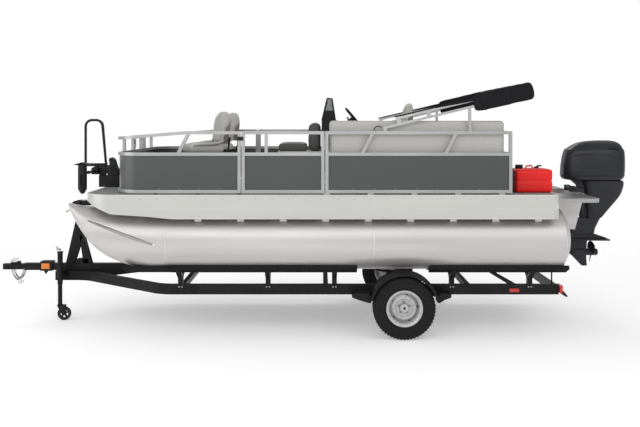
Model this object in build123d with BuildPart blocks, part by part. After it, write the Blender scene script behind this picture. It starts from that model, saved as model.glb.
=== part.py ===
from build123d import *
import math
import os

os.makedirs("parts", exist_ok=True)

# +Z up, bow toward -X, port side toward -Y, ground at z = 0, millimetres.
# Stations along X are set from the middle of the deck, which is mid_x aft of the origin.
mid_x = 113.0
seat_gap = 0.3

# deck and skirt
deck_length = 4800.0
beam = 2438.0
deck_top = 1480.0
deck_thickness = 25.0
bow_corner = 330.0
stern_corner = 70.0
skirt_height = 245.0
skirt_wall = 28.0
fascia_height = 75.0
stern_cut = 90.0
fascia_rake = 930.0

# pontoons
tube_diameter = 610.0
tube_inset = 369.0
tube_bottom = 690.0
seam_setback = 840.0
tube_end_reach = 175.0
dome_depth = 90.0
nose_flat = 200.0
keel_width = 24.0
keel_height = 22.0

# cross members under the deck
member_count = 11
member_height = 100.0
member_width = 50.0
member_inset = 60.0
saddle_width = 150.0

# fence
rail = 32.0
fence_inset = 24.0
fence_gap = 14.0
fence_height = 635.0
mid_rail_drop = 215.0
fence_front_setback = 310.0
fence_end_setback = 475.0
fence_corner = 330.0
bow_rail_drop = 60.0
bow_rail_run = 750.0
sheet = 3.0
strut_lean = 95.0
strut_width = 38.0
gate_gap = 8.0
gate_aft_station = 45.0
gate_width = 830.0
bow_gate_width = 540.0

# furniture
lounge_end_gap = 28.0
lounge_depth = 560.0
lounge_base_height = 330.0
cushion = 110.0
lounge_back_height = 740.0
chair_station = -1200.0
chair_y = 500.0
helm_station = 900.0
helm_y = 430.0
chair_seat_height = 400.0

# outboard motor
cowl_length = 656.0
cowl_width = 380.0
cowl_height = 455.0
cowl_seam = 1545.0
gearcase_z = 724.0
prop_diameter = 262.0

# trailer
wheel_diameter = 640.0
tyre_width = 185.0
rim_diameter = 356.0
wheel_outset = 190.0
hub_station = 854.0
rail_height = 105.0
frame_rail_width = 50.0
frame_top = 520.0
tongue_size = 76.0
coupler_reach = 1227.0
bunk_thickness = 38.0
bunk_width = 140.0

deck_bottom = deck_top - deck_thickness
bow_x = mid_x - deck_length / 2
stern_x = mid_x + deck_length / 2
half_beam = beam / 2
tube_radius = tube_diameter / 2
tube_center_y = half_beam - tube_inset
wheel_y = tube_center_y + wheel_outset
tube_z = tube_bottom + tube_radius
seam_x = bow_x + seam_setback
tube_end_x = stern_x + tube_end_reach
fence_y = half_beam - fence_inset
fence_front = bow_x + fence_front_setback
fence_aft = stern_x - fence_end_setback
fence_z0 = deck_top + fence_gap
fence_z1 = deck_top + fence_height
mid_z1 = fence_z1 - mid_rail_drop
member_top = deck_bottom
member_bottom = member_top - member_height
member_half = half_beam - skirt_wall - 2

SIDES = (("port", -1), ("starboard", 1))


def save(builder, name, placed=Location()):
    piece = builder.part.moved(placed)
    piece.label = name
    export_step(piece, f"parts/{name}.step")


# Pontoons: a plain tube, a domed end and an upswept nose; stations are shares of the nose.
# columns: distance ahead of the seam, top above the tube's top, height, half width
NOSE = (
    (0.0, 0.0, 610.0, 305.0),
    (330.0, 4.0, 600.0, 296.0),
    (640.0, 14.0, 500.0, 250.0),
    (860.0, 32.0, 330.0, 172.0),
    (990.0, 52.0, 150.0, 90.0),
    (1050.0, 66.0, 46.0, 30.0),
)
tube_top = tube_bottom + tube_diameter
for side, sign in SIDES:
    y = sign * tube_center_y
    with BuildPart() as pontoon:
        with BuildSketch(Plane.YZ.offset(seam_x)):
            with Locations((y, tube_z)):
                Circle(tube_radius)
        extrude(amount=tube_end_x - dome_depth - seam_x)
        with BuildSketch(Plane.XZ.offset(-y)):
            with BuildLine():
                Polyline(
                    (tube_end_x - dome_depth, tube_z + tube_radius),
                    (tube_end_x - dome_depth, tube_z),
                    (tube_end_x, tube_z),
                )
                ThreePointArc(
                    (tube_end_x, tube_z),
                    (tube_end_x - dome_depth * 0.3, tube_z + tube_radius * 0.68),
                    (tube_end_x - dome_depth, tube_z + tube_radius),
                )
            make_face()
        revolve(axis=Axis((0, y, tube_z), (1, 0, 0)))
        for ahead, rise, height, half_width in NOSE:
            with BuildSketch(Plane.YZ.offset(seam_x - ahead)):
                with Locations((y, tube_top + rise - height / 2)):
                    Ellipse(half_width, height / 2)
        loft()
        with BuildSketch(Plane.XZ.offset(-y)):
            with Locations(((seam_x + tube_end_x - dome_depth) / 2, tube_bottom)):
                Rectangle(tube_end_x - dome_depth - seam_x, keel_height)
        extrude(amount=keel_width / 2, both=True)
    save(pontoon, f"pontoon_{side}")

# Cross members, each with the two saddles that sit on the pontoons.
member_span = deck_length - 2 * member_inset - member_width
member_pitch = member_span / (member_count - 1)
with BuildPart() as cross_members:
    for index in range(member_count):
        x = bow_x + member_inset + member_width / 2 + index * member_pitch
        with BuildSketch(Plane.XZ.offset(-member_half)):
            with Locations((x, (member_top + member_bottom) / 2)):
                Rectangle(member_width, member_height)
            with Locations((x + 5, (member_top + member_bottom) / 2)):
                Rectangle(member_width, member_height - 12, mode=Mode.SUBTRACT)
        extrude(amount=2 * member_half)
        if x > seam_x - nose_flat:
            for side, sign in SIDES:
                with Locations((x, sign * tube_center_y, (member_bottom + tube_top) / 2 - 15)):
                    Box(member_width, saddle_width, member_bottom - tube_top + 30)
    for side, sign in SIDES:
        with Locations((0, sign * tube_center_y, tube_z)):
            Cylinder(tube_radius, 2 * deck_length, rotation=(0, 90, 0), mode=Mode.SUBTRACT)
    with BuildSketch(Plane.XY.offset(member_bottom - member_height)):
        with Locations((mid_x, 0)):
            Rectangle(deck_length - 2 * skirt_wall - 4, 2 * member_half)
        fillet(vertices().group_by(Axis.X)[0], bow_corner - skirt_wall)
    extrude(amount=3 * member_height, mode=Mode.INTERSECT)
save(cross_members, "cross_members")

with BuildPart() as deck:
    with BuildSketch(Plane.XY.offset(deck_bottom)):
        with Locations((mid_x, 0)):
            Rectangle(deck_length - 2 * skirt_wall, beam - 2 * skirt_wall)
        fillet(vertices().group_by(Axis.X)[0], bow_corner - skirt_wall)
        fillet(vertices().group_by(Axis.X)[-1], stern_corner - skirt_wall)
    extrude(amount=deck_thickness)
save(deck, "deck")

with BuildPart() as deck_skirt:
    with BuildSketch(Plane.XY.offset(deck_top - skirt_height)):
        with Locations((mid_x, 0)):
            Rectangle(deck_length, beam)
        fillet(vertices().group_by(Axis.X)[0], bow_corner)
        fillet(vertices().group_by(Axis.X)[-1], stern_corner)
        offset(amount=-skirt_wall, mode=Mode.SUBTRACT)
    extrude(amount=skirt_height)
    with BuildSketch(Plane.XZ.offset(-beam)):
        with BuildLine():
            Polyline(
                (bow_x - 10, deck_top - skirt_height - 10),
                (bow_x - 10, deck_top - fascia_height),
                (bow_x + 50, deck_top - fascia_height - 10),
                (bow_x + 130, deck_top - 0.51 * skirt_height),
                (bow_x + 0.33 * fascia_rake, deck_top - 0.8 * skirt_height),
                (bow_x + 0.7 * fascia_rake, deck_top - 0.89 * skirt_height),
                (bow_x + fascia_rake, deck_top - skirt_height),
                (bow_x + fascia_rake, deck_top - skirt_height - 10),
                close=True,
            )
        make_face()
    extrude(amount=2 * beam, mode=Mode.SUBTRACT)
    with Locations((stern_x - skirt_wall, 0, deck_top - skirt_height)):
        Box(4 * skirt_wall, beam - 2 * stern_corner, 2 * stern_cut, mode=Mode.SUBTRACT)
save(deck_skirt, "deck_skirt")


# Fence: square tube round the deck, three rails high, with gates at the bow, port side and stern.
def rail_path(points, z, height):
    with BuildSketch(Plane.XY.offset(z)) as outline:
        with BuildLine():
            if len(points) > 2:
                FilletPolyline(*points, radius=fence_corner - rail / 2)
            else:
                Line(*points)
        trace(line_width=rail)
    extrude(outline.sketch, amount=height)


def posts(places, z0, z1):
    for x, y in places:
        with Locations((x, y, (z0 + z1) / 2)):
            Box(rail, rail, z1 - z0)


def slanted(tops, y, z1):
    with BuildSketch(Plane.XZ.offset(-y - rail / 2)) as outline:
        for x in tops:
            with BuildLine():
                Polyline(
                    (x - strut_lean, mid_z1 - 2),
                    (x - strut_lean + strut_width, mid_z1 - 2),
                    (x + strut_width, z1 + 2),
                    (x, z1 + 2),
                    close=True,
                )
            make_face()
    extrude(outline.sketch, amount=rail)


rail_y = fence_y - rail / 2
front_rail_x = fence_front + rail / 2
aft_rail_x = fence_aft - rail / 2
gate_aft = mid_x + gate_aft_station
gate_front = gate_aft - gate_width
gate_front_post = gate_front - gate_gap - rail / 2
gate_aft_post = gate_aft + gate_gap + rail / 2
bow_gate_half = bow_gate_width / 2
bow_post_y = bow_gate_half + gate_gap + rail / 2
slope_x = fence_front + bow_rail_run
top_z = fence_z1 - rail
half_rail = rail / 2

with BuildPart() as fence_bow:
    for side, sign in SIDES:
        path = (
            (gate_front_post, sign * rail_y),
            (front_rail_x, sign * rail_y),
            (front_rail_x, sign * bow_post_y),
        )
        rail_path(path, top_z - bow_rail_drop, rail + bow_rail_drop)
    with BuildSketch(Plane.XZ.offset(-beam)):
        with BuildLine():
            Polyline(
                (fence_front - 50, top_z - bow_rail_drop),
                (fence_front, top_z - bow_rail_drop),
                (slope_x, top_z),
                (gate_front_post + rail, top_z),
                (gate_front_post + rail, top_z - bow_rail_drop - 10),
                (fence_front - 50, top_z - bow_rail_drop - 10),
                close=True,
            )
        make_face()
    extrude(amount=2 * beam, mode=Mode.SUBTRACT)
    for side, sign in SIDES:
        path = (
            (gate_front_post, sign * rail_y),
            (front_rail_x, sign * rail_y),
            (front_rail_x, sign * bow_post_y),
        )
        rail_path(path, fence_z0, rail)
        rail_path(path, mid_z1 - rail, rail)
        posts((path[0], path[-1]), fence_z0, fence_z1 - half_rail)
        posts(((front_rail_x, sign * 700),), mid_z1 - rail, fence_z1 - half_rail)
        slanted((slope_x,), path[0][1], top_z)
    with BuildSketch(Plane.XZ.offset(-beam)):
        with BuildLine():
            Polyline(
                (fence_front - 50, fence_z1 - bow_rail_drop),
                (fence_front, fence_z1 - bow_rail_drop),
                (slope_x, fence_z1),
                (slope_x, fence_z1 + 50),
                (fence_front - 50, fence_z1 + 50),
                close=True,
            )
        make_face()
    extrude(amount=2 * beam, mode=Mode.SUBTRACT)
save(fence_bow, "fence_bow")

# slanted struts in the upper gap of a long side: where each one meets the top rail
side_run = aft_rail_x - gate_aft_post
STRUTS = (gate_aft_post + 0.236 * side_run, gate_aft_post + 0.69 * side_run)
with BuildPart() as fence_aft:
    for z in (fence_z0, mid_z1 - rail, top_z):
        rail_path(((gate_aft_post, -rail_y), (aft_rail_x, -rail_y)), z, rail)
        rail_path(((gate_front_post + rail, rail_y), (aft_rail_x, rail_y)), z, rail)
        rail_path(((aft_rail_x, -rail_y), (aft_rail_x, rail_y)), z, rail)
    full = [(gate_aft_post, -rail_y), (gate_front_post + rail, rail_y), (gate_aft_post, rail_y)]
    full += [(aft_rail_x, y) for y in (-rail_y, 0, rail_y)]
    posts(full, fence_z0, fence_z1)
    for sign in (-1, 1):
        slanted(STRUTS, sign * rail_y, top_z)
        for index in range(5):
            with Locations((gate_aft_post + index * side_run / 4.2, sign * rail_y, fence_z0 - fence_gap / 2)):
                Box(60, rail, fence_gap)
save(fence_aft, "fence_aft")

# Sheet panels between the bottom rail and the middle rail.
panel_z0 = fence_z0 + rail
panel_z1 = mid_z1 - rail


def sheet_path(points):
    with BuildSketch(Plane.XY.offset(panel_z0)) as outline:
        with BuildLine():
            if len(points) > 2:
                FilletPolyline(*points, radius=fence_corner - rail / 2)
            else:
                Line(*points)
        trace(line_width=sheet)
    extrude(outline.sketch, amount=panel_z1 - panel_z0)


with BuildPart() as fence_panels:
    for side, sign in SIDES:
        sheet_path((
            (gate_front_post - half_rail, sign * rail_y),
            (front_rail_x, sign * rail_y),
            (front_rail_x, sign * (bow_post_y + half_rail)),
        ))
        sheet_path(((gate_aft_post + half_rail, sign * rail_y), (aft_rail_x - half_rail, sign * rail_y)))
        sheet_path(((aft_rail_x, sign * half_rail), (aft_rail_x, sign * (rail_y - half_rail))))
    sheet_path(((gate_front_post + rail + half_rail, rail_y), (gate_aft_post - half_rail, rail_y)))
save(fence_panels, "fence_panels")

# Spacers that lift the bow fence off the deck.
with BuildPart() as fence_feet:
    foot_z = deck_top + fence_gap / 2
    for sign in (-1, 1):
        for index in range(3):
            with Locations((gate_front_post - index * 420, sign * rail_y, foot_z)):
                Box(rail, rail, fence_gap)
        with Locations((front_rail_x, sign * bow_post_y, foot_z)):
            Box(rail, rail, fence_gap)
save(fence_feet, "fence_feet")

# Gates: each is built on its own hinge axis, swings inward, and is then placed.
pin_radius = 5.0
knuckle_radius = 8.0
pin_fit = 0.1
leaf = 4.0
axis_gap = gate_gap / 2
axis_in = knuckle_radius
HINGE_ROWS = (fence_z0 + 90.0, fence_z1 - 190.0)
knuckle = 40.0

# columns: name, width, direction of the free edge, place of the axis, turn about Z
GATES = (
    ("port", gate_width, -1, (gate_aft + axis_gap, -fence_y + rail + axis_in, 0), 0),
    ("bow", bow_gate_width, -1, (fence_front + rail + axis_in, -bow_gate_half - axis_gap, 0), -90),
)
for name, width, way, place, turn in GATES:
    z1 = fence_z1 - bow_rail_drop if name == "bow" else fence_z1
    placed = Location(place, (0, 0, turn))
    with BuildPart() as gate:
        with BuildSketch(Plane.XZ.offset(axis_in)):
            with Locations((way * (axis_gap + width / 2), (fence_z0 + z1) / 2)):
                Rectangle(width, z1 - fence_z0)
            with Locations((way * (axis_gap + width / 2), (panel_z0 + panel_z1) / 2)):
                Rectangle(width - 2 * rail, panel_z1 - panel_z0, mode=Mode.SUBTRACT)
            for share in (0.28, 0.75):
                wide = (width - 3 * rail) * (0.27 if share < 0.5 else 0.73)
                center = rail + wide / 2 if share < 0.5 else width - rail - wide / 2
                with Locations((way * (axis_gap + width - center), (mid_z1 + z1 - rail) / 2)):
                    Rectangle(wide, z1 - rail - mid_z1, mode=Mode.SUBTRACT)
        extrude(amount=rail)
        for row in HINGE_ROWS:
            with BuildSketch(Plane.XY.offset(row + knuckle + 1)):
                Circle(knuckle_radius)
                with Locations((way * 15, -axis_in + leaf / 2)):
                    Rectangle(30, leaf)
                Circle(pin_radius + pin_fit, mode=Mode.SUBTRACT)
            extrude(amount=knuckle - 2)
    save(gate, f"gate_{name}", placed)
    with BuildPart() as gate_panel:
        with BuildSketch(Plane.XZ.offset(axis_in + rail / 2 - sheet / 2)):
            with Locations((way * (axis_gap + width / 2), (panel_z0 + panel_z1) / 2)):
                Rectangle(width - 2 * rail, panel_z1 - panel_z0)
        extrude(amount=sheet)
    save(gate_panel, f"gate_{name}_panel", placed)

with BuildPart() as gate_hinges:
    for name, width, way, place, turn in GATES:
        with Locations(Location(place, (0, 0, turn))):
            for row in HINGE_ROWS:
                with Locations((0, 0, row + 1.5 * knuckle)):
                    Cylinder(pin_radius, 3 * knuckle)
                for step in (0.5, 2.5):
                    with Locations((0, 0, row + step * knuckle)):
                        Cylinder(knuckle_radius, knuckle)
                    with Locations((-way * 17, -axis_in + leaf / 2, row + step * knuckle)):
                        Box(34, leaf, knuckle)
save(gate_hinges, "gate_hinges")

# Furniture
lounge_front = gate_aft_post + rail / 2 + seat_gap
lounge_port = -fence_y + rail + 25
lounge_y = lounge_port + lounge_depth / 2
seat_z = deck_top + lounge_base_height
lounge_length = aft_rail_x - half_rail - lounge_end_gap - lounge_front
lounge_x = lounge_front + lounge_length / 2
with BuildPart() as lounge_base:
    with Locations((lounge_x, lounge_y, deck_top + lounge_base_height / 2)):
        Box(lounge_length, lounge_depth, lounge_base_height)
save(lounge_base, "lounge_base")
back_depth = 130.0
with BuildPart() as lounge_pads:
    with BuildSketch(Plane.YZ.offset(lounge_front)):
        with Locations((lounge_port + back_depth / 2, (seat_z + deck_top + lounge_back_height) / 2)):
            RectangleRounded(back_depth, lounge_back_height - lounge_base_height - 2 * seat_gap, 40)
    extrude(amount=lounge_length)
    with Locations((lounge_x, lounge_y + back_depth / 2, seat_z + seat_gap + cushion / 2)):
        Box(lounge_length, lounge_depth - back_depth - 2 * seat_gap, cushion)
save(lounge_pads, "lounge_pads")

console_x = mid_x + 210
console_y = half_beam - 579
console_top = 2230.0
screen_height = 265.0
with BuildPart() as console:
    with BuildSketch(Plane.XZ.offset(-console_y + 300)):
        with BuildLine():
            Polyline(
                (console_x - 190, deck_top),
                (console_x + 150, deck_top),
                (console_x + 230, console_top - 140),
                (console_x - 20, console_top),
                (console_x - 190, console_top),
                close=True,
            )
        make_face()
    extrude(amount=-600)
screen_half = 250.0
screen_wall = 6.0
# columns: inset of the screen's side outline, where its extrusion starts and ends, how it is used
SCREEN = ((0.0, screen_half, Mode.ADD), (screen_wall, screen_half - screen_wall, Mode.SUBTRACT))
with BuildPart() as windscreen:
    for inset, half_width, use in SCREEN:
        with BuildSketch(Plane.XZ.offset(-console_y - half_width)):
            with BuildLine():
                Polyline(
                    (console_x - 184 + inset, console_top - inset),
                    (console_x - 24 + 4 * inset, console_top - inset),
                    (console_x - 62 + 4 * inset, console_top + screen_height + inset),
                    (console_x - 122 + inset, console_top + screen_height + inset),
                    close=True,
                )
            make_face()
        extrude(amount=2 * half_width, mode=use)
save(windscreen, "windscreen")

wheel_tilt = 40.0
helm_wheel = (console_x + 195, console_y, console_top + 20)
helm_plane = Plane(origin=helm_wheel, x_dir=(0, 1, 0), z_dir=(math.sin(math.radians(90 - wheel_tilt)), 0,
                                                         math.cos(math.radians(90 - wheel_tilt))))
with BuildPart() as steering_wheel:
    with BuildSketch(helm_plane):
        with Locations((0, 0)):
            Circle(165)
            Circle(140, mode=Mode.SUBTRACT)
        for angle in (90, 210, 330):
            with Locations(Location((0, 0), angle)):
                with Locations((75, 0)):
                    Rectangle(150, 26)
        Circle(38)
        Circle(9, mode=Mode.SUBTRACT)
    extrude(amount=22)
save(steering_wheel, "steering_wheel")
with BuildPart() as console_full:
    add(console.part)
    with BuildSketch(helm_plane.offset(-140)):
        Circle(30)
    extrude(amount=136)
    with BuildSketch(helm_plane.offset(-10)):
        Circle(8.95)
    extrude(amount=28)
save(console_full, "console")

bench_x0 = console_x - 190 - seat_gap
with BuildPart() as console_bench:
    with Locations((bench_x0 - 260, console_y, deck_top + 190)):
        Box(520, 560, 380)
save(console_bench, "console_bench")
with BuildPart() as bench_pads:
    with Locations((bench_x0 - 325, console_y, deck_top + 380 + seat_gap + 45)):
        Box(380, 520, 90)
    with Locations((bench_x0 - 65, console_y, deck_top + 380 + seat_gap + 170)):
        Box(120, 500, 340)
save(bench_pads, "bench_pads")

bow_chair_turn = 22.0
# Swivel chairs: a pedestal fixed to the deck, a socket and pan that turn on it, seat and back pads.
# columns: name, x, y, back height, turn to port
CHAIRS = (
    ("port", mid_x + chair_station, -chair_y, 330.0, bow_chair_turn),
    ("starboard", mid_x + chair_station, chair_y, 330.0, bow_chair_turn),
    ("helm", mid_x + helm_station, helm_y, 440.0, 0.0),
)
stem_radius = 24.0
back_pad = 95.0
pan_z = deck_top + chair_seat_height
with BuildPart() as seat_pedestals:
    for name, x, y, back_height, turn in CHAIRS:
        with Locations((x, y, deck_top + 5)):
            Cylinder(110, 10)
        with Locations((x, y, (deck_top + pan_z - 25) / 2)):
            Cylinder(stem_radius, pan_z - 25 - deck_top)
save(seat_pedestals, "seat_pedestals")
for name, x, y, back_height, turn in CHAIRS:
    placed = Location((x, y, 0), (0, 0, turn))
    with BuildPart() as chair:
        with BuildSketch(Plane.XY.offset(pan_z - 80)):
            Circle(stem_radius + 12)
            Circle(stem_radius + 0.1, mode=Mode.SUBTRACT)
        extrude(amount=56)
        with Locations((0, 0, pan_z - 12)):
            Box(220, 220, 24)
        with BuildSketch(Plane.XZ.offset(-25)):
            with BuildLine():
                Polyline((60, pan_z - 24), (205, pan_z - 24), (235, pan_z + 160), (214.3, pan_z + 160),
                         (214.3, pan_z + 60), (190, pan_z - 4), (60, pan_z - 4), close=True)
            make_face()
        extrude(amount=50)
    save(chair, f"chair_{name}", placed)
    with BuildPart() as pads:
        with BuildSketch(Plane.XY.offset(pan_z + seat_gap)):
            with Locations((-60, 0)):
                RectangleRounded(400, 420, 80)
        extrude(amount=80)
        with BuildSketch(Plane.YZ.offset(214)):
            with Locations((0, pan_z + 110 + back_height / 2)):
                RectangleRounded(400, back_height, 110)
        extrude(amount=-back_pad)
    save(pads, f"pads_{name}", placed)


# Stern: an open motor pod between the pontoons, a platform each side of it, and the fuel tank.
pod_half = tube_center_y - tube_radius - 200
pod_plate = 8.0
pod_top = 1420.0
pod_low = 1025.0
transom = 42.0
transom_top_x = stern_x + 515
transom_low_x = stern_x + 410
transom_lean = (transom_top_x - transom_low_x) / (pod_top - pod_low)
pod_rear = stern_x - 40
pod_rear_low = deck_top - skirt_height - 40
pod_seat = deck_top - skirt_height + stern_cut - seat_gap
pod_step_x = transom_low_x - 90
with BuildPart() as motor_pod:
    with BuildSketch(Plane.XZ.offset(-pod_half - pod_plate / 2)):
        with BuildLine():
            Polyline(
                (stern_x, pod_top),
                (transom_top_x, pod_top),
                (transom_low_x, pod_low),
                (pod_step_x, pod_low),
                (pod_rear, pod_rear_low),
                (pod_rear, pod_seat),
                (stern_x, pod_seat),
                close=True,
            )
        make_face()
    extrude(amount=2 * pod_half + pod_plate)
    with BuildSketch(Plane.XZ.offset(-pod_half + pod_plate / 2)):
        with BuildLine():
            Polyline(
                (pod_rear - 20, pod_top + 20),
                (transom_top_x - transom + 20 * transom_lean, pod_top + 20),
                (transom_low_x - transom + pod_plate * transom_lean, pod_low + pod_plate),
                (pod_step_x, pod_low + pod_plate),
                (pod_rear - 20, pod_rear_low + pod_plate + 5),
                close=True,
            )
        make_face()
    extrude(amount=2 * pod_half - pod_plate, mode=Mode.SUBTRACT)
save(motor_pod, "motor_pod")

platform_length = 490.0
platform_top = 1420.0
platform_thickness = 42.0
with BuildPart() as stern_platforms:
    for sign in (-1, 1):
        low = pod_half + pod_plate / 2
        high = half_beam - 239
        with BuildSketch(Plane.XY.offset(platform_top - platform_thickness)):
            with Locations((stern_x + platform_length / 2, sign * (low + high) / 2)):
                Rectangle(platform_length, high - low)
            outer = vertices().sort_by(Axis.X)[-2:].sort_by(Axis.Y)[0 if sign < 0 else -1]
            fillet(outer, 90)
        extrude(amount=platform_thickness)
save(stern_platforms, "stern_platforms")

tank_x = stern_x - 200
tank_y = 399 - half_beam
tank_length = 380.0
tank_width = 330.0
tank_height = 245.0
with BuildPart() as fuel_tank:
    with BuildSketch(Plane.XY.offset(deck_top)):
        with Locations((tank_x, tank_y)):
            RectangleRounded(tank_length, tank_width, 45)
    extrude(amount=tank_height)
    fillet(faces().sort_by(Axis.Z)[-1].edges(), 18)
    with Locations((tank_x - 120, tank_y, deck_top + tank_height + 20)):
        Cylinder(38, 42)
    with Locations((tank_x + 60, tank_y, deck_top + tank_height + 14)):
        Box(90, 40, 30)
save(fuel_tank, "fuel_tank")

# Outboard: clamp on the transom, swivel that tilts, leg and cowl that steer, propeller.
tilt_x = stern_x + 450
tilt_z = 1455.0
steer_x = stern_x + 600
tube_r = 16.0
with BuildPart() as motor_clamp:
    for sign in (-1, 1):
        with BuildSketch(Plane.XZ.offset(-sign * 95 - 12)):
            with BuildLine():
                Polyline(
                    (tilt_x - 28, pod_top),
                    (tilt_x - 28, tilt_z + 30),
                    (tilt_x + 30, tilt_z + 30),
                    (transom_top_x + 34, pod_top + 20),
                    (transom_top_x + 34 - 260 * transom_lean, pod_top - 260),
                    (transom_top_x - 260 * transom_lean, pod_top - 260),
                    (transom_top_x, pod_top),
                    close=True,
                )
            make_face()
        extrude(amount=24)
    with BuildSketch(Plane.XZ.offset(-110)):
        with Locations((tilt_x, tilt_z)):
            Circle(tube_r)
    extrude(amount=220)
save(motor_clamp, "motor_clamp")

swivel_z0 = 1120.0
swivel_z1 = 1455.0
swivel_r = 36.0
kingpin_r = 18.0
gearcase_rear = steer_x + 60
with BuildPart() as motor_swivel:
    with Locations((steer_x, 0, (swivel_z0 + swivel_z1) / 2)):
        Cylinder(swivel_r, swivel_z1 - swivel_z0)
    with BuildSketch(Plane.XZ.offset(-70)):
        with BuildLine():
            Polyline(
                (tilt_x, pod_top + 6),
                (tilt_x, swivel_z1),
                (steer_x, swivel_z1),
                (steer_x, swivel_z1 - 150),
                (transom_top_x + 14, swivel_z1 - 150),
                (transom_top_x + 14, pod_top + 6),
                close=True,
            )
        make_face()
    extrude(amount=140)
    with BuildSketch(Plane.XZ.offset(-80)):
        with Locations((tilt_x, tilt_z)):
            Circle(26)
    extrude(amount=160)
    with BuildSketch(Plane.XZ.offset(-90)):
        with Locations((tilt_x, tilt_z)):
            Circle(tube_r + 0.1)
    extrude(amount=180, mode=Mode.SUBTRACT)
    with Locations((steer_x, 0, swivel_z1 - 20)):
        Cylinder(kingpin_r + 0.1, 1000, mode=Mode.SUBTRACT)
save(motor_swivel, "motor_swivel")

# columns: height, front and rear from the steering axis, half width
LEG_UPPER = (
    (swivel_z0 - 40, 44.0, 176.0, 64.0),
    (1383.0, 44.0, 409.0, 78.0),
    (cowl_seam, 44.0, 392.0, 84.0),
)
LEG_LOWER = (
    (935.0, -150.0, 128.0, 42.0),
    (1000.0, -152.0, 142.0, 54.0),
    (swivel_z0 - 6, -124.0, 198.0, 66.0),
)
with BuildPart() as motor_leg:
    with BuildSketch(Plane.XZ.offset(-50)):
        with BuildLine():
            Polyline(
                (steer_x - 60, swivel_z1 + 6),
                (steer_x - 60, cowl_seam - 60),
                (steer_x - 130, cowl_seam),
                (steer_x + 60, cowl_seam),
                (steer_x + 60, swivel_z1 + 6),
                close=True,
            )
        make_face()
    extrude(amount=100)
    for sections in (LEG_UPPER, LEG_LOWER):
        for z, front, rear, half_width in sections:
            with BuildSketch(Plane.XY.offset(z)):
                with Locations((steer_x + (front + rear) / 2, 0)):
                    RectangleRounded(rear - front, 2 * half_width, half_width - 14)
        loft(ruled=True)
    with Locations((steer_x, 0, (swivel_z0 + swivel_z1) / 2)):
        Cylinder(kingpin_r, swivel_z1 - swivel_z0 + 12)
    with BuildSketch(Plane.XY.offset(860)):
        with BuildLine():
            Polyline((steer_x - 150, -62), (steer_x + 290, -86), (steer_x + 290, 86), (steer_x - 150, 62), close=True)
        make_face()
    extrude(amount=16)
    with BuildSketch(Plane.XZ.offset(-28)):
        with BuildLine():
            Polyline(
                (steer_x - 152, 940),
                (steer_x + 110, 940),
                (steer_x + 260, 890),
                (steer_x + 285, 876),
                (steer_x + 100, 876),
                (steer_x + 48, 864),
                (steer_x + 38, gearcase_z),
                (steer_x + 38, gearcase_z - 60),
                (steer_x + 45, gearcase_z - 155),
                (steer_x - 10, gearcase_z - 155),
                (steer_x - 120, gearcase_z - 40),
                (steer_x - 150, gearcase_z),
                close=True,
            )
        make_face()
    extrude(amount=56)
    with BuildSketch(Plane.XZ):
        with BuildLine():
            Polyline((gearcase_rear, gearcase_z), (steer_x - 165, gearcase_z))
            ThreePointArc(
                (steer_x - 165, gearcase_z),
                (steer_x - 130, gearcase_z + 36),
                (steer_x - 50, gearcase_z + 50),
            )
            Polyline(
                (steer_x - 50, gearcase_z + 50),
                (steer_x + 10, gearcase_z + 50),
                (gearcase_rear, gearcase_z + 38),
                (gearcase_rear, gearcase_z),
            )
        make_face()
    revolve(axis=Axis((0, 0, gearcase_z), (1, 0, 0)))
save(motor_leg, "motor_leg")

cowl_x0 = steer_x - 255
# columns: share of the height, front and rear as shares of the length, share of the width, corner
COWL = (
    (0.0, 0.02, 0.985, 0.93, 110.0),
    (0.14, 0.0, 1.0, 1.0, 120.0),
    (0.44, 0.01, 0.99, 1.0, 120.0),
    (0.66, 0.05, 0.965, 0.94, 118.0),
    (0.82, 0.13, 0.905, 0.83, 112.0),
    (0.94, 0.25, 0.81, 0.62, 92.0),
    (1.0, 0.40, 0.66, 0.32, 50.0),
)
with BuildPart() as motor_cowl:
    for rise, front, rear, wide, corner in COWL:
        with BuildSketch(Plane.XY.offset(cowl_seam + rise * cowl_height)):
            with Locations((cowl_x0 + cowl_length * (front + rear) / 2, 0)):
                RectangleRounded(cowl_length * (rear - front), cowl_width * wide, corner)
    loft()
save(motor_cowl, "motor_cowl")

prop_x = gearcase_rear + 52
blade_count = 3
with BuildPart() as propeller:
    with BuildSketch(Plane.YZ.offset(gearcase_rear + seat_gap)):
        with Locations((0, gearcase_z)):
            Circle(40)
    extrude(amount=110, taper=4)
    for index in range(blade_count):
        angle = 360 / blade_count * index
        with BuildSketch(Plane(Location((prop_x, 0, gearcase_z), (angle, 0, 0)) * Location((0, 0, 20), (0, 0, 35)))):
            SlotOverall(110, 10)
        extrude(amount=prop_diameter / 2 - 20)
save(propeller, "propeller")


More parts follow.
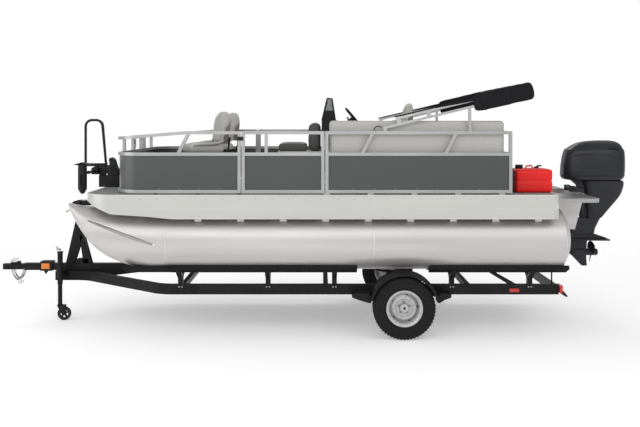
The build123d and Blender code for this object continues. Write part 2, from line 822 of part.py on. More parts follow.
# Bimini top folded in its boot: a frame that hinges at the top rail and rests on two posts.
pivot_x = mid_x + 650
pivot_z = fence_z1 + 34
lie = 13.5
arm_y = rail_y - 2
arm = 25.0
arm_length = 1480.0
boot_start = 905.0
boot_end = 1540.0
boot_tall = 165.0
boot_wide = 95.0
rest_reach = 905.0
bimini_plane = Plane(origin=(pivot_x, 0, pivot_z), x_dir=(math.cos(math.radians(lie)), 0,
                                                       math.sin(math.radians(lie))), z_dir=(0, -1, 0))
with BuildPart() as bimini_frame:
    for sign in (-1, 1):
        for height, start, end in ((0, -14, arm_length), (62, 130, arm_length - 120)):
            with BuildSketch(bimini_plane.offset(-sign * arm_y - arm / 2)):
                with Locations(((start + end) / 2, height)):
                    Rectangle(end - start, arm)
            extrude(amount=arm)
        with BuildSketch(bimini_plane.offset(-sign * arm_y - arm / 2)):
            with Locations((150, 31), (460, 31)):
                Rectangle(40, 80)
        extrude(amount=arm)
        with BuildSketch(bimini_plane.offset(-sign * arm_y - arm / 2 - 1)):
            Circle(6.1)
        extrude(amount=arm + 2, mode=Mode.SUBTRACT)
    with BuildSketch(bimini_plane.offset(-arm_y)):
        with Locations((arm_length - arm / 2, 0)):
            Rectangle(arm, arm)
    extrude(amount=2 * arm_y)
save(bimini_frame, "bimini_frame")

boot_mid = 34.0
with BuildPart() as bimini_boot:
    for sign in (-1, 1):
        with BuildSketch(bimini_plane.offset(-sign * (arm_y - 20) - boot_wide / 2)):
            with Locations(((boot_start + boot_end - 50) / 2, boot_mid)):
                RectangleRounded(boot_end - 50 - boot_start, boot_tall, 60)
        extrude(amount=boot_wide)
    with BuildSketch(bimini_plane.offset(-arm_y - 20)):
        with Locations((boot_end - 90, boot_mid)):
            RectangleRounded(180, boot_tall + 20, 70)
    extrude(amount=2 * arm_y + 40)
    add(bimini_frame.part, mode=Mode.SUBTRACT)
save(bimini_boot, "bimini_boot")

with BuildPart() as bimini_mounts:
    for sign in (-1, 1):
        inner = sign * (arm_y - arm / 2 - 5)
        outer = sign * (arm_y + arm / 2 + 4)
        for y in (inner, outer):
            with Locations((pivot_x, y, (fence_z1 + pivot_z + 12) / 2)):
                Box(34, 6, pivot_z + 12 - fence_z1)
        with BuildSketch(Plane.XZ.offset(-sign * arm_y - arm / 2 - 6)):
            with Locations((pivot_x, pivot_z)):
                Circle(6)
        extrude(amount=arm + 12)
        rest_x = pivot_x + (rest_reach - 30) * math.cos(math.radians(lie))
        rest_z = pivot_z + (rest_reach - 30) * math.sin(math.radians(lie)) - arm / 2 / math.cos(math.radians(lie))
        with BuildSketch(Plane.XZ.offset(-sign * arm_y - arm / 2)):
            with BuildLine():
                slope = math.tan(math.radians(lie))
                Polyline(
                    (rest_x - 14, fence_z1),
                    (rest_x - 14, rest_z - 14 * slope - seat_gap),
                    (rest_x + 14, rest_z + 14 * slope - seat_gap),
                    (rest_x + 14, fence_z1),
                    close=True,
                )
            make_face()
        extrude(amount=arm)
save(bimini_mounts, "bimini_mounts")

# Bow trolling motor, stowed across the bow; its arm swings down round a fore-and-aft pin.
troll_x = bow_x - 115
troll_z = 1660.0
troll_pin_y = -150.0
mount_top = troll_z - 50
with BuildPart() as troll_mount:
    with Locations((bow_x + 70, troll_pin_y, (deck_top + mount_top) / 2)):
        Box(290, 120, mount_top - deck_top)
    with BuildSketch(Plane.YZ.offset(troll_x + 40)):
        with Locations((troll_pin_y, troll_z - 30)):
            Rectangle(70, 110)
    extrude(amount=60)
    with BuildSketch(Plane.YZ.offset(troll_x - 36)):
        with Locations((troll_pin_y, troll_z)):
            Circle(11.9)
    extrude(amount=90)
save(troll_mount, "troll_mount")

shaft_r = 14.0
pod_r = 45.0
pod_y = troll_pin_y - 560
loop_foot = 1727.0
loop_top = 2240.0
loop_front = troll_x - 124
loop_back = troll_x + 66
loop_lean = 40.0
loop_r = 11.0
with BuildPart() as troll_arm:
    with BuildSketch(Plane.YZ.offset(troll_x - 34)):
        with Locations((troll_pin_y, troll_z)):
            Rectangle(200, 70)
            Circle(12, mode=Mode.SUBTRACT)
    extrude(amount=68)
    with Locations((troll_x, (troll_pin_y - 100 + pod_y) / 2, troll_z)):
        Cylinder(shaft_r, abs(pod_y - troll_pin_y) - 100, rotation=(90, 0, 0))
    with Locations((troll_x, troll_pin_y + 170, troll_z)):
        Cylinder(shaft_r, 140, rotation=(90, 0, 0))
    with Locations((troll_x, troll_pin_y + 300, troll_z)):
        Box(110, 170, 90)
    with Locations((troll_x, pod_y, troll_z - 40)):
        Cylinder(pod_r, 260)
    with Locations((troll_x, troll_pin_y, (troll_z + 30 + loop_foot) / 2)):
        Box(40, 40, loop_foot - troll_z - 30)
    with BuildSketch(Plane.XZ.offset(-troll_pin_y - loop_r)):
        with BuildLine():
            FilletPolyline(
                (loop_front, loop_foot),
                (loop_front, loop_top - loop_r),
                (loop_back, loop_top - loop_r),
                (loop_back + loop_lean, loop_foot),
                radius=(loop_back - loop_front) / 2 - 24,
            )
        trace(line_width=2 * loop_r)
    extrude(amount=2 * loop_r)
    with Locations(((loop_front + loop_back + loop_lean) / 2, troll_pin_y, loop_foot)):
        Box(loop_back + loop_lean - loop_front + 30, 30, 34)
save(troll_arm, "troll_arm")
with BuildPart() as troll_prop:
    with Locations((troll_x, pod_y, troll_z + 105 + seat_gap)):
        Cylinder(28, 30)
    for angle in (0, 180):
        blade = Location((troll_x, pod_y, troll_z + 106), (0, 0, angle)) * Location((0, 0, 0), (0, 90, 0))
        with BuildSketch(Plane(blade * Location((0, 0, 10), (0, 0, 60)))):
            SlotOverall(50, 6)
        extrude(amount=95)
save(troll_prop, "troll_prop")

# Trailer
hub_x = mid_x + hub_station
wheel_r = wheel_diameter / 2
frame_aft = stern_x + 80
frame_y = tube_center_y
frame_mid = frame_top - rail_height / 2
neck_x = bow_x - 240
neck_half = 65.0
neck_length = 360.0
bend_x = bow_x + 750
with BuildPart() as trailer_frame:
    for sign in (-1, 1):
        with BuildSketch(Plane.XY.offset(frame_top - rail_height)):
            with BuildLine():
                FilletPolyline(
                    (frame_aft, sign * frame_y),
                    (bend_x, sign * frame_y),
                    (neck_x, sign * neck_half),
                    (neck_x - neck_length, sign * neck_half),
                    radius=300,
                )
            trace(line_width=frame_rail_width)
        extrude(amount=rail_height)
    for x, tall in ((frame_aft - 25, 80), (mid_x + 1560, 60), (mid_x + 60, 60), (bend_x + 200, 60)):
        with Locations((x, 0, frame_top - rail_height / 2)):
            Box(50, 2 * frame_y - frame_rail_width, tall)
    with Locations((neck_x - neck_length / 2, 0, frame_mid)):
        Box(neck_length, 2 * neck_half - frame_rail_width, rail_height)
save(trailer_frame, "trailer_frame")

tongue_z = frame_top + tongue_size / 2
coupler_x = bow_x - coupler_reach
tongue_aft = bow_x + 250
with BuildPart() as tongue:
    with Locations(((coupler_x + 250 + tongue_aft) / 2, 0, tongue_z)):
        Box(tongue_aft - coupler_x - 250, tongue_size, tongue_size)
    with BuildSketch(Plane.XY.offset(tongue_z - 30)):
        with BuildLine():
            Polyline((coupler_x + 60, -42), (coupler_x + 250, -38), (coupler_x + 250, 38), (coupler_x + 60, 42))
            ThreePointArc((coupler_x + 60, 42), (coupler_x, 0), (coupler_x + 60, -42))
        make_face()
    extrude(amount=60)
    with Locations((coupler_x + 56, 0, tongue_z - 30 + 22)):
        Cylinder(25.6, 44, mode=Mode.SUBTRACT)
    with Locations((coupler_x + 150, 0, tongue_z + 45)):
        Box(110, 24, 30)
save(tongue, "tongue")

with BuildPart() as winch_stand:
    with BuildSketch(Plane.XZ.offset(-30)):
        with BuildLine():
            Polyline(
                (bow_x - 500, frame_top + tongue_size),
                (bow_x - 420, frame_top + tongue_size),
                (bow_x - 290, 1200),
                (bow_x - 340, 1290),
            )
            Polyline((bow_x - 340, 1290), (bow_x - 500, frame_top + tongue_size))
        make_face()
        with BuildLine():
            Polyline(
                (bow_x - 280, frame_top + tongue_size),
                (bow_x - 220, frame_top + tongue_size),
                (bow_x - 335, 1090),
                (bow_x - 360, 1000),
                close=True,
            )
        make_face()
    extrude(amount=60)
    with BuildSketch(Plane.XZ.offset(-65)):
        with Locations((bow_x - 375, 1262)):
            Circle(50)
    extrude(amount=130)
    with Locations((bow_x - 139, 0, 1280)):
        Box(402, 60, 50)
save(winch_stand, "winch_stand")

bunk_angle = 24.0
bunk_reach = tube_radius + seat_gap
BUNK_RUNS = ((seam_x + 20, mid_x + 380), (mid_x + 1120, stern_x + 140))
POST_PLACES = (seam_x + 110, mid_x - 540, mid_x + 150, mid_x + 1370, stern_x - 220)
with BuildPart() as bunks:
    for sign in (-1, 1):
        for tilt in (-bunk_angle, bunk_angle):
            plane = Plane(Location((0, sign * tube_center_y, tube_z), (tilt, 0, 0)))
            for x0, x1 in BUNK_RUNS:
                with BuildSketch(plane.offset(-bunk_reach)):
                    with Locations(((x0 + x1) / 2, 0)):
                        Rectangle(x1 - x0, bunk_width)
                extrude(amount=-bunk_thickness)
save(bunks, "bunks")

bunk_slope = math.tan(math.radians(bunk_angle))
cradle_low = tube_z - (bunk_reach + bunk_thickness + seat_gap) / math.cos(math.radians(bunk_angle))
cradle_half = 150.0
cradle_rise = cradle_low + cradle_half * bunk_slope
CRADLE = (
    (-cradle_half, cradle_rise),
    (0, cradle_low),
    (cradle_half, cradle_rise),
    (cradle_half, cradle_rise - 30),
    (30, cradle_low - 35),
    (30, frame_top),
    (-30, frame_top),
    (-30, cradle_low - 35),
    (-cradle_half, cradle_rise - 30),
)
with BuildPart() as bunk_posts:
    for sign in (-1, 1):
        for post_x in POST_PLACES:
            with BuildSketch(Plane.YZ.offset(post_x - 25)):
                with BuildLine():
                    Polyline(
                        [(sign * tube_center_y + across, z) for across, z in CRADLE],
                        close=True,
                    )
                make_face()
            extrude(amount=50)
save(bunk_posts, "bunk_posts")

spindle_r = 20.0
with BuildPart() as axle:
    with Locations((hub_x, 0, wheel_r)):
        Box(50, 2 * (wheel_y - tyre_width / 2 - 12), 50)
    with BuildSketch(Plane.XZ.offset(-wheel_y - 20)):
        with Locations((hub_x, wheel_r)):
            Circle(spindle_r)
    extrude(amount=2 * wheel_y + 40)
    for sign in (-1, 1):
        with BuildSketch(Plane.XZ.offset(-sign * frame_y - 22)):
            with BuildLine():
                Polyline(
                    (hub_x - 330, frame_top - rail_height),
                    (hub_x - 290, frame_top - rail_height),
                    (hub_x - 60, wheel_r + 43),
                    (hub_x + 60, wheel_r + 43),
                    (hub_x + 290, frame_top - rail_height),
                    (hub_x + 330, frame_top - rail_height),
                    (hub_x + 330, frame_top - rail_height - 18),
                    (hub_x + 70, wheel_r + 25),
                    (hub_x - 70, wheel_r + 25),
                    (hub_x - 330, frame_top - rail_height - 18),
                    close=True,
                )
            make_face()
        extrude(amount=44)
save(axle, "axle")

fender_r = 352.0
fender_wall = 4.0
with BuildPart() as fenders:
    for sign in (-1, 1):
        with BuildSketch(Plane.XZ.offset(-sign * wheel_y - 110)):
            with Locations((hub_x, wheel_r)):
                Circle(fender_r + fender_wall)
                Circle(fender_r, mode=Mode.SUBTRACT)
            with Locations((hub_x, wheel_r - 400 + 90)):
                Rectangle(1000, 800, mode=Mode.SUBTRACT)
        extrude(amount=220)
        for way in (-1, 1):
            with Locations((hub_x + way * 375, sign * (wheel_y - 82.5), 440)):
                Box(90, 165, 8)
save(fenders, "fenders")

for side, sign in SIDES:
    with BuildPart() as tyre:
        with BuildSketch(Plane.XY):
            with BuildLine():
                Polyline(
                    (rim_diameter / 2 - 14, sign * wheel_y - 70),
                    (rim_diameter / 2 + 40, sign * wheel_y - tyre_width / 2),
                    (wheel_r - 45, sign * wheel_y - tyre_width / 2),
                    (wheel_r, sign * wheel_y - tyre_width / 2 + 22),
                    (wheel_r, sign * wheel_y + tyre_width / 2 - 22),
                    (wheel_r - 45, sign * wheel_y + tyre_width / 2),
                    (rim_diameter / 2 + 40, sign * wheel_y + tyre_width / 2),
                    (rim_diameter / 2 - 14, sign * wheel_y + 70),
                    close=True,
                )
            make_face()
        revolve(axis=Axis((0, 0, 0), (0, 1, 0)))
    save(tyre, f"tyre_{side}", Location((hub_x, 0, wheel_r)))
    with BuildPart() as rim:
        with BuildSketch(Plane.XY):
            with BuildLine():
                Polyline(
                    (spindle_r + 0.05, sign * (wheel_y - 80)),
                    (55, sign * (wheel_y - 80)),
                    (55, sign * (wheel_y + 10)),
                    (110, sign * (wheel_y + 18)),
                    (140, sign * (wheel_y - 10)),
                    (rim_diameter / 2 - 26, sign * (wheel_y - 70)),
                    (rim_diameter / 2 - 14, sign * (wheel_y - 70)),
                    (rim_diameter / 2 - 14, sign * (wheel_y + 70)),
                    (rim_diameter / 2 - 22, sign * (wheel_y + 70)),
                    (rim_diameter / 2 - 26, sign * (wheel_y + 20)),
                    (115, sign * (wheel_y + 32)),
                    (50, sign * (wheel_y + 24)),
                    (42, sign * (wheel_y + 60)),
                    (0, sign * (wheel_y + 60)),
                    (0, sign * (wheel_y + 21)),
                    (spindle_r + 0.05, sign * (wheel_y + 21)),
                    close=True,
                )
            make_face()
        revolve(axis=Axis((0, 0, 0), (0, 1, 0)))
    save(rim, f"rim_{side}", Location((hub_x, 0, wheel_r)))

with BuildPart() as tail_lamps:
    for sign in (-1, 1):
        with Locations((frame_aft + 15, sign * (frame_y + 10), frame_mid + 10)):
            Box(30, 120, 75)
save(tail_lamps, "tail_lamps")

# Tongue jack: a bracket tube that swings up, an inner leg that slides, a caster fork and wheel.
jack_x = bow_x - 500
jack_y = -235.0
jack_pivot_z = 490.0
jack_r = 29.0
jack_bore = 24.2
jack_tube_z = (400.0, 750.0)
jack_leg_z = (180.0, 500.0)
jack_cap = 14.0
pivot_face_y = jack_y + 46
caster_r = 75.0
caster_half = 22.0
caster_back = 48.0
fork_half = 33.0
fork_plate = 6.0
fork_top = jack_leg_z[0] - seat_gap
caster_pin = 8.0
with BuildPart() as jack_bracket:
    with BuildSketch(Plane.XZ.offset(-pivot_face_y)):
        with Locations((jack_x, jack_pivot_z)):
            Circle(45)
    extrude(amount=pivot_face_y + neck_half + frame_rail_width / 2)
save(jack_bracket, "jack_bracket")
with BuildPart() as jack_tube:
    with Locations((jack_x, jack_y, sum(jack_tube_z) / 2)):
        Cylinder(jack_r, jack_tube_z[1] - jack_tube_z[0])
        Cylinder(jack_bore, 2 * jack_tube_z[1], mode=Mode.SUBTRACT)
    with Locations((jack_x, jack_y, jack_tube_z[1] + jack_cap / 2)):
        Cylinder(jack_r + 4, jack_cap)
    with BuildSketch(Plane.XZ.offset(seat_gap - pivot_face_y)):
        with Locations((jack_x, jack_pivot_z)):
            Circle(40)
    extrude(amount=20)
save(jack_tube, "jack_tube")
with BuildPart() as jack_leg:
    with Locations((jack_x, jack_y, sum(jack_leg_z) / 2)):
        Cylinder(jack_bore - 0.05, jack_leg_z[1] - jack_leg_z[0])
save(jack_leg, "jack_leg")
with BuildPart() as jack_fork:
    with Locations((jack_x, jack_y, fork_top - 7)):
        Cylinder(26, 14)
    for sign in (-1, 1):
        with BuildSketch(Plane.XZ.offset(-(jack_y + sign * (fork_half - 3)) - 3)):
            with BuildLine():
                Polyline(
                    (jack_x - 26, 165),
                    (jack_x + 60, 165),
                    (jack_x + caster_back + 16, 62),
                    (jack_x + caster_back - 16, 62),
                    close=True,
                )
            make_face()
        extrude(amount=fork_plate)
    with Locations((jack_x + 17, jack_y, 165)):
        Box(86, 2 * fork_half, 8)
    with BuildSketch(Plane.XZ.offset(-jack_y - fork_half)):
        with Locations((jack_x + caster_back, caster_r)):
            Circle(caster_pin)
    extrude(amount=2 * fork_half)
save(jack_fork, "jack_fork")
with BuildPart() as jack_wheel:
    with BuildSketch(Plane.XZ.offset(-jack_y - caster_half)):
        with Locations((jack_x + caster_back, caster_r)):
            Circle(caster_r)
            Circle(caster_pin + 0.05, mode=Mode.SUBTRACT)
    extrude(amount=2 * caster_half)
save(jack_wheel, "jack_wheel")
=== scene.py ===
import bpy
import bmesh
import math
from mathutils import Matrix, Vector, noise


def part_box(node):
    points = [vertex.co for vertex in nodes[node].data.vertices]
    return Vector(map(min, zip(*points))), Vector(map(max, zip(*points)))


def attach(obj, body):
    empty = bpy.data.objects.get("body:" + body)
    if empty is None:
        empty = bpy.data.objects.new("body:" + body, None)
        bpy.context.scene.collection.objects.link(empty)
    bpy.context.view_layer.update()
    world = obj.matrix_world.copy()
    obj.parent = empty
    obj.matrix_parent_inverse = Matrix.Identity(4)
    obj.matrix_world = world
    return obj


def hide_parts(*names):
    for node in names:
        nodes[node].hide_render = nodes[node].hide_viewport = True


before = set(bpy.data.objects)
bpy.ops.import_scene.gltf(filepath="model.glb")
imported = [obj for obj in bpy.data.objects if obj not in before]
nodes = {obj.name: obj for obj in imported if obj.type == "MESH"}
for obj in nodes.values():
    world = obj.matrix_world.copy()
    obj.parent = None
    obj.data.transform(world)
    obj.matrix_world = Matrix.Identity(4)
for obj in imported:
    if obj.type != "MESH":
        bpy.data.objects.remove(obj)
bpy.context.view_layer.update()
scene = bpy.context.scene
print("frame loaded:", len(nodes), "nodes")

stageLook = {
    "floorSize": 60.0, "floorColor": (0.9, 0.9, 0.9), "floorGlow": 0.28, "fadeFrom": 3.2, "fadeTo": 7.0,
    "worldLight": 0.62, "keyPower": 170.0, "fillPower": 70.0, "rimPower": 150.0, "bowPower": 46.0,
}
cameraLook = {"place": (0.113, -9.5, 2.195), "lens": 46.7, "shiftY": -0.1412}
# shared places on the part
hull = {"tubeY": 0.85, "tubeZ": 0.995, "tubeRadius": 0.305, "seamX": -1.447, "skirtY": 1.219,
        "panelY": 1.1795}
trailer = {"wheelX": 0.967, "wheelZ": 0.32, "frameY": 0.875, "jack": (-2.787, -0.235)}
bothSides = (-1, 1)
quarter = math.pi / 2
# turns that point a shape's top outboard, port and starboard
outboard = {-1: (quarter, 0, 0), 1: (-quarter, 0, 0)}


# ---- finishes ----
def addNode(tree, kind, **values):
    node = tree.nodes.new(kind)
    for socket, value in values.items():
        node.inputs[socket.replace("_", " ")].default_value = value
    return node


def wire(tree, *rows):
    for source, output, target, entry in rows:
        tree.links.new(source.outputs[output], target.inputs[entry])


def makeFinish(name, rough, light, dark=None, scale=None, stretch=(1, 1, 1), detail=4.0, bump=0.0,
               reach=0.002, metal=0.0, coat=0.0, coatRough=0.03, alpha=1.0, shine=0.5, patches=None,
               pitch=None):
    # colour and relief follow one noise, or pebbles of the given pitch; patches vary the roughness
    finish = bpy.data.materials.new(name)
    finish.use_nodes = True
    tree = finish.node_tree
    shader = tree.nodes["Principled BSDF"]
    constants = {"Base Color": (*light, 1.0), "Roughness": rough, "Metallic": metal, "Coat Weight": coat,
                 "Coat Roughness": coatRough, "Alpha": alpha, "Specular IOR Level": shine}
    for socket, value in constants.items():
        shader.inputs[socket].default_value = value
    place = addNode(tree, "ShaderNodeTexCoord")
    if dark:
        ramp = addNode(tree, "ShaderNodeValToRGB")
        ends = ramp.color_ramp.elements
        if pitch:
            height = "Distance"
            pattern = addNode(tree, "ShaderNodeTexVoronoi", Scale=1.0 / pitch)
            ends[0].color, ends[1].color = (*light, 1.0), (*dark, 1.0)
            wire(tree, (place, "Object", pattern, "Vector"))
        else:
            height = "Fac"
            pattern = addNode(tree, "ShaderNodeTexNoise", Scale=scale, Detail=detail)
            mapping = addNode(tree, "ShaderNodeMapping", Scale=stretch)
            ends[0].position, ends[1].position = 0.3, 0.7
            ends[0].color, ends[1].color = (*dark, 1.0), (*light, 1.0)
            wire(tree, (place, "Object", mapping, "Vector"), (mapping, "Vector", pattern, "Vector"))
        wire(tree, (pattern, height, ramp, "Fac"), (ramp, "Color", shader, "Base Color"))
        if bump:
            relief = addNode(tree, "ShaderNodeBump", Strength=bump, Distance=pitch * 0.4 if pitch else reach)
            relief.invert = bool(pitch)
            wire(tree, (pattern, height, relief, "Height"), (relief, "Normal", shader, "Normal"))
    if patches:
        cloud = addNode(tree, "ShaderNodeTexNoise", Scale=patches[0])
        spread = addNode(tree, "ShaderNodeMapRange", To_Min=patches[1], To_Max=patches[2])
        wire(tree, (place, "Object", cloud, "Vector"), (cloud, "Fac", spread, "Value"),
             (spread, "Result", shader, "Roughness"))
    return finish


def metalSheet(dark, light, rough, stretch=(1, 1, 1), metal=0.85, bump=0.05, patchy=0.07):
    return dict(rough=rough, light=light, dark=dark, scale=2.2, stretch=stretch, detail=5.0, bump=bump,
                reach=0.001, metal=metal, patches=(3.0, rough - patchy, rough + patchy))


def vinyl(rough, dark, light, pitch=0.0022, bump=0.18, shine=0.5):
    return dict(rough=rough, light=light, dark=dark, pitch=pitch, bump=bump, shine=shine)


def grained(rough, scale, dark, light, bump=0.0, patches=None, **more):
    return dict(rough=rough, scale=scale, dark=dark, light=light, bump=bump, patches=patches, **more)


finishRows = {
    "hullAluminium": metalSheet((0.52, 0.495, 0.495), (0.61, 0.58, 0.58), 0.4, (0.25, 1.5, 4), 0.62, 0, 0.04),
    "skirtAluminium": metalSheet((0.545, 0.545, 0.52), (0.605, 0.605, 0.575), 0.36, (0.2, 1, 2), 0.7, 0,
                                 0.03),
    "railAluminium": metalSheet((0.37, 0.37, 0.375), (0.44, 0.44, 0.44), 0.32, (1, 1, 1), 0.75, 0, 0.04),
    "weld": metalSheet((0.66, 0.64, 0.62), (0.8, 0.78, 0.76), 0.42),
    # darker aluminium, used as painted shade on the nose strakes and the rim's grooves
    "shadedAluminium": metalSheet((0.26, 0.24, 0.24), (0.38, 0.36, 0.355), 0.42),
    "zincSteel": metalSheet((0.42, 0.43, 0.44), (0.62, 0.62, 0.62), 0.4, metal=0.9),
    "panelPaint": grained(0.35, 1.4, (0.05, 0.057, 0.052), (0.058, 0.065, 0.06), 0.0, (5.0, 0.34, 0.42),
                          stretch=(0.3, 1, 1), metal=0.3, coat=0.8, coatRough=0.3, shine=0.25),
    "deckCarpet": grained(0.95, 420.0, (0.16, 0.165, 0.17), (0.36, 0.365, 0.37), 0.8, detail=2.0,
                          reach=0.004),
    "bunkCarpet": grained(0.95, 380.0, (0.008, 0.008, 0.009), (0.03, 0.03, 0.032), 0.8, detail=2.0,
                          reach=0.004, shine=0.04),
    "beigeVinyl": vinyl(0.5, (0.41, 0.385, 0.335), (0.51, 0.48, 0.42)),
    "paleVinyl": vinyl(0.5, (0.37, 0.365, 0.345), (0.47, 0.465, 0.44)),
    "charcoalVinyl": vinyl(0.48, (0.06, 0.062, 0.06), (0.11, 0.112, 0.11), shine=0.3),
    "taupeVinyl": vinyl(0.5, (0.13, 0.118, 0.113), (0.19, 0.172, 0.166)),
    "mouldedBeige": grained(0.45, 160.0, (0.52, 0.49, 0.43), (0.6, 0.57, 0.51), 0.15),
    "mouldedBlack": grained(0.5, 240.0, (0.009, 0.009, 0.01), (0.02, 0.02, 0.022), 0.2, (20.0, 0.42, 0.6),
                            shine=0.2),
    "cowlPaint": grained(0.3, 3.0, (0.011, 0.012, 0.015), (0.018, 0.019, 0.023), 0.0, (6.0, 0.3, 0.38),
                         shine=0.36),
    "legPaint": grained(0.4, 60.0, (0.017, 0.0175, 0.022), (0.027, 0.028, 0.034), 0.05, (12.0, 0.38, 0.5),
                        shine=0.25),
    "trailerPaint": grained(0.4, 5.0, (0.0085, 0.008, 0.0085), (0.014, 0.0135, 0.014), 0.0, (8.0, 0.36, 0.5),
                            shine=0.16),
    "rubber": grained(0.75, 90.0, (0.01, 0.0095, 0.0095), (0.022, 0.021, 0.021), 0.15, (30.0, 0.66, 0.85),
                      shine=0.12),
    "rimSilver": grained(0.35, 30.0, (0.42, 0.42, 0.42), (0.54, 0.54, 0.535), 0.05, (20.0, 0.28, 0.42),
                         metal=0.5),
    "redTank": grained(0.32, 60.0, (0.72, 0.01, 0.008), (0.84, 0.018, 0.013), 0.03, (14.0, 0.34, 0.46),
                       shine=0.3),
    "blackCanvas": vinyl(0.85, (0.006, 0.006, 0.007), (0.024, 0.024, 0.026), 0.0016, 0.5, 0.06),
    "redLens": grained(0.12, 200.0, (0.45, 0.006, 0.006), (0.6, 0.016, 0.014), 0.2, (40.0, 0.1, 0.18),
                       coat=0.5),
    "amberTag": grained(0.4, 60.0, (0.7, 0.17, 0.02), (0.85, 0.27, 0.04)),
    "smokedScreen": dict(rough=0.08, light=(0.2, 0.22, 0.21), alpha=0.5),
    "dialFace": grained(0.35, 90.0, (0.62, 0.62, 0.6), (0.74, 0.74, 0.72)),
    "propPaint": grained(0.3, 40.0, (0.014, 0.014, 0.016), (0.03, 0.03, 0.034), 0.05, (14.0, 0.24, 0.4),
                         metal=0.4, shine=0.3),
}
finishes = {name: makeFinish(name, **row) for name, row in finishRows.items()}
print("finishes made:", len(finishes))

nodeFinishes = {
    "hullAluminium": ["pontoon_port", "pontoon_starboard", "motor_pod", "cross_members"],
    "skirtAluminium": ["deck_skirt"],
    "railAluminium": ["fence_bow", "fence_aft", "gate_port", "gate_bow", "bimini_frame", "bimini_mounts",
                      "stern_platforms"],
    "panelPaint": ["fence_panels", "gate_port_panel", "gate_bow_panel"],
    "deckCarpet": ["deck"],
    "mouldedBeige": ["lounge_base", "console_bench"],
    "mouldedBlack": ["console", "fence_feet", "chair_port", "chair_starboard", "chair_helm", "troll_mount",
                     "troll_arm", "troll_prop"],
    "zincSteel": ["gate_hinges", "seat_pedestals"],
    "smokedScreen": ["windscreen"],
    "trailerPaint": ["trailer_frame", "tongue", "winch_stand", "bunk_posts", "axle", "fenders",
                     "jack_bracket", "jack_tube", "jack_leg", "jack_fork"],
    "bunkCarpet": ["bunks"],
    "rubber": ["jack_wheel"],
    "rimSilver": ["rim_port", "rim_starboard"],
    "redLens": ["tail_lamps"],
    "legPaint": ["motor_clamp", "motor_swivel", "motor_leg"],
    "cowlPaint": ["motor_cowl"],
}
for finishName, members in nodeFinishes.items():
    for member in members:
        if member in nodes:
            nodes[member].data.materials.clear()
            nodes[member].data.materials.append(finishes[finishName])


# ---- shared makers ----
def around(count, start=0.0, sweep=2 * math.pi, power=1.0, last=False):
    # cosine and sine at even steps of a turn, with its end or not; a power under 1 squares the round
    pairs = []
    for step in range(count):
        angle = start + sweep * step / (count - last)
        pairs.append([math.copysign(abs(value) ** power, value)
                      for value in (math.cos(angle), math.sin(angle))])
    return pairs


def circle(center, radius, count=64, axis="y", start=0.0):
    x, y, z = center
    return [(x + radius * c, y, z + radius * s) if axis == "y" else (x, y + radius * c, z + radius * s)
            for c, s in around(count, start)]


def meshOf(points, faces):
    mesh = bpy.data.meshes.new("shape")
    mesh.from_pydata([tuple(point) for point in points], [], faces)
    bm = bmesh.new()
    bm.from_mesh(mesh)
    bmesh.ops.remove_doubles(bm, verts=bm.verts, dist=1e-5)
    bmesh.ops.recalc_face_normals(bm, faces=bm.faces)
    bm.to_mesh(mesh)
    bm.free()
    mesh.update()
    return mesh


def skinned(rings, closed=False):
    # rings of points joined one to the next; an open stack is capped at both ends
    rows, steps = len(rings), len(rings[0])
    faces = []
    for row in range(rows if closed else rows - 1):
        here, ahead = row * steps, (row + 1) % rows * steps
        for step in range(steps):
            turn = (step + 1) % steps
            faces.append((here + step, here + turn, ahead + turn, ahead + step))
    if not closed:
        faces.append(tuple(range(steps)))
        faces.append(tuple((rows - 1) * steps + step for step in range(steps)))
    return meshOf([point for ring in rings for point in ring], faces)


def joined(meshes):
    bm = bmesh.new()
    for mesh in meshes:
        bm.from_mesh(mesh)
    whole = bpy.data.meshes.new("whole")
    bm.to_mesh(whole)
    bm.free()
    for mesh in meshes:
        bpy.data.meshes.remove(mesh)
    return whole


def finished(name, mesh, finish, slotName, body="boat", replaced=(), angle=35, fill=None):
    # takes one mesh, or a list that becomes one piece
    mesh = joined(mesh) if isinstance(mesh, list) else mesh
    mesh.name = name
    piece = bpy.data.objects.new(name, mesh)
    scene.collection.objects.link(piece)
    mesh.materials.clear()
    mesh.materials.append(finishes[finish])
    for face in mesh.polygons:
        face.use_smooth = True
    mesh.set_sharp_from_angle(angle=math.radians(angle))
    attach(piece, body)
    if replaced:
        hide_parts(*replaced)
    return piece


def tubeMesh(points, radius, sides=12, closed=False, flatten=1.0):
    # a round tube along a list of points, with its section kept square to the path
    path = [Vector(point) for point in points]
    count = len(path)
    rings, side = [], None
    for index, point in enumerate(path):
        before = path[index - 1] if index or closed else point
        after = path[(index + 1) % count] if index < count - 1 or closed else point
        ahead = (after - before).normalized()
        side = side or ahead.orthogonal().normalized()
        side = (side - ahead * side.dot(ahead)).normalized()
        up = ahead.cross(side)
        width = radius[index] if isinstance(radius, list) else radius
        rings.append([point + side * c * width + up * s * width * flatten for c, s in around(sides)])
    return skinned(rings, closed)


def latheMesh(profile, center, axis, sides=48, closed=False):
    # profile: (distance along the axis, radius); a closed one joins its last row to its first
    axis, center = Vector(axis).normalized(), Vector(center)
    side = axis.orthogonal().normalized()
    up = axis.cross(side)
    return skinned([[center + axis * along + (side * c + up * s) * max(radius, 1e-5)
                     for c, s in around(sides)] for along, radius in profile], closed)


def blockMesh(low, high, bevel=0.0, segments=2):
    bm = bmesh.new()
    bmesh.ops.create_cube(bm, size=1.0)
    for vert in bm.verts:
        vert.co = Vector([(low[i] + high[i]) / 2 + vert.co[i] * (high[i] - low[i]) for i in range(3)])
    if bevel:
        bmesh.ops.bevel(bm, geom=list(bm.edges), offset=bevel, segments=segments, affect="EDGES", profile=0.5)
    mesh = bpy.data.meshes.new("block")
    bm.to_mesh(mesh)
    bm.free()
    return mesh


def blockAt(middle, half, bevel=0.0):
    return blockMesh([middle[i] - half[i] for i in range(3)], [middle[i] + half[i] for i in range(3)], bevel)


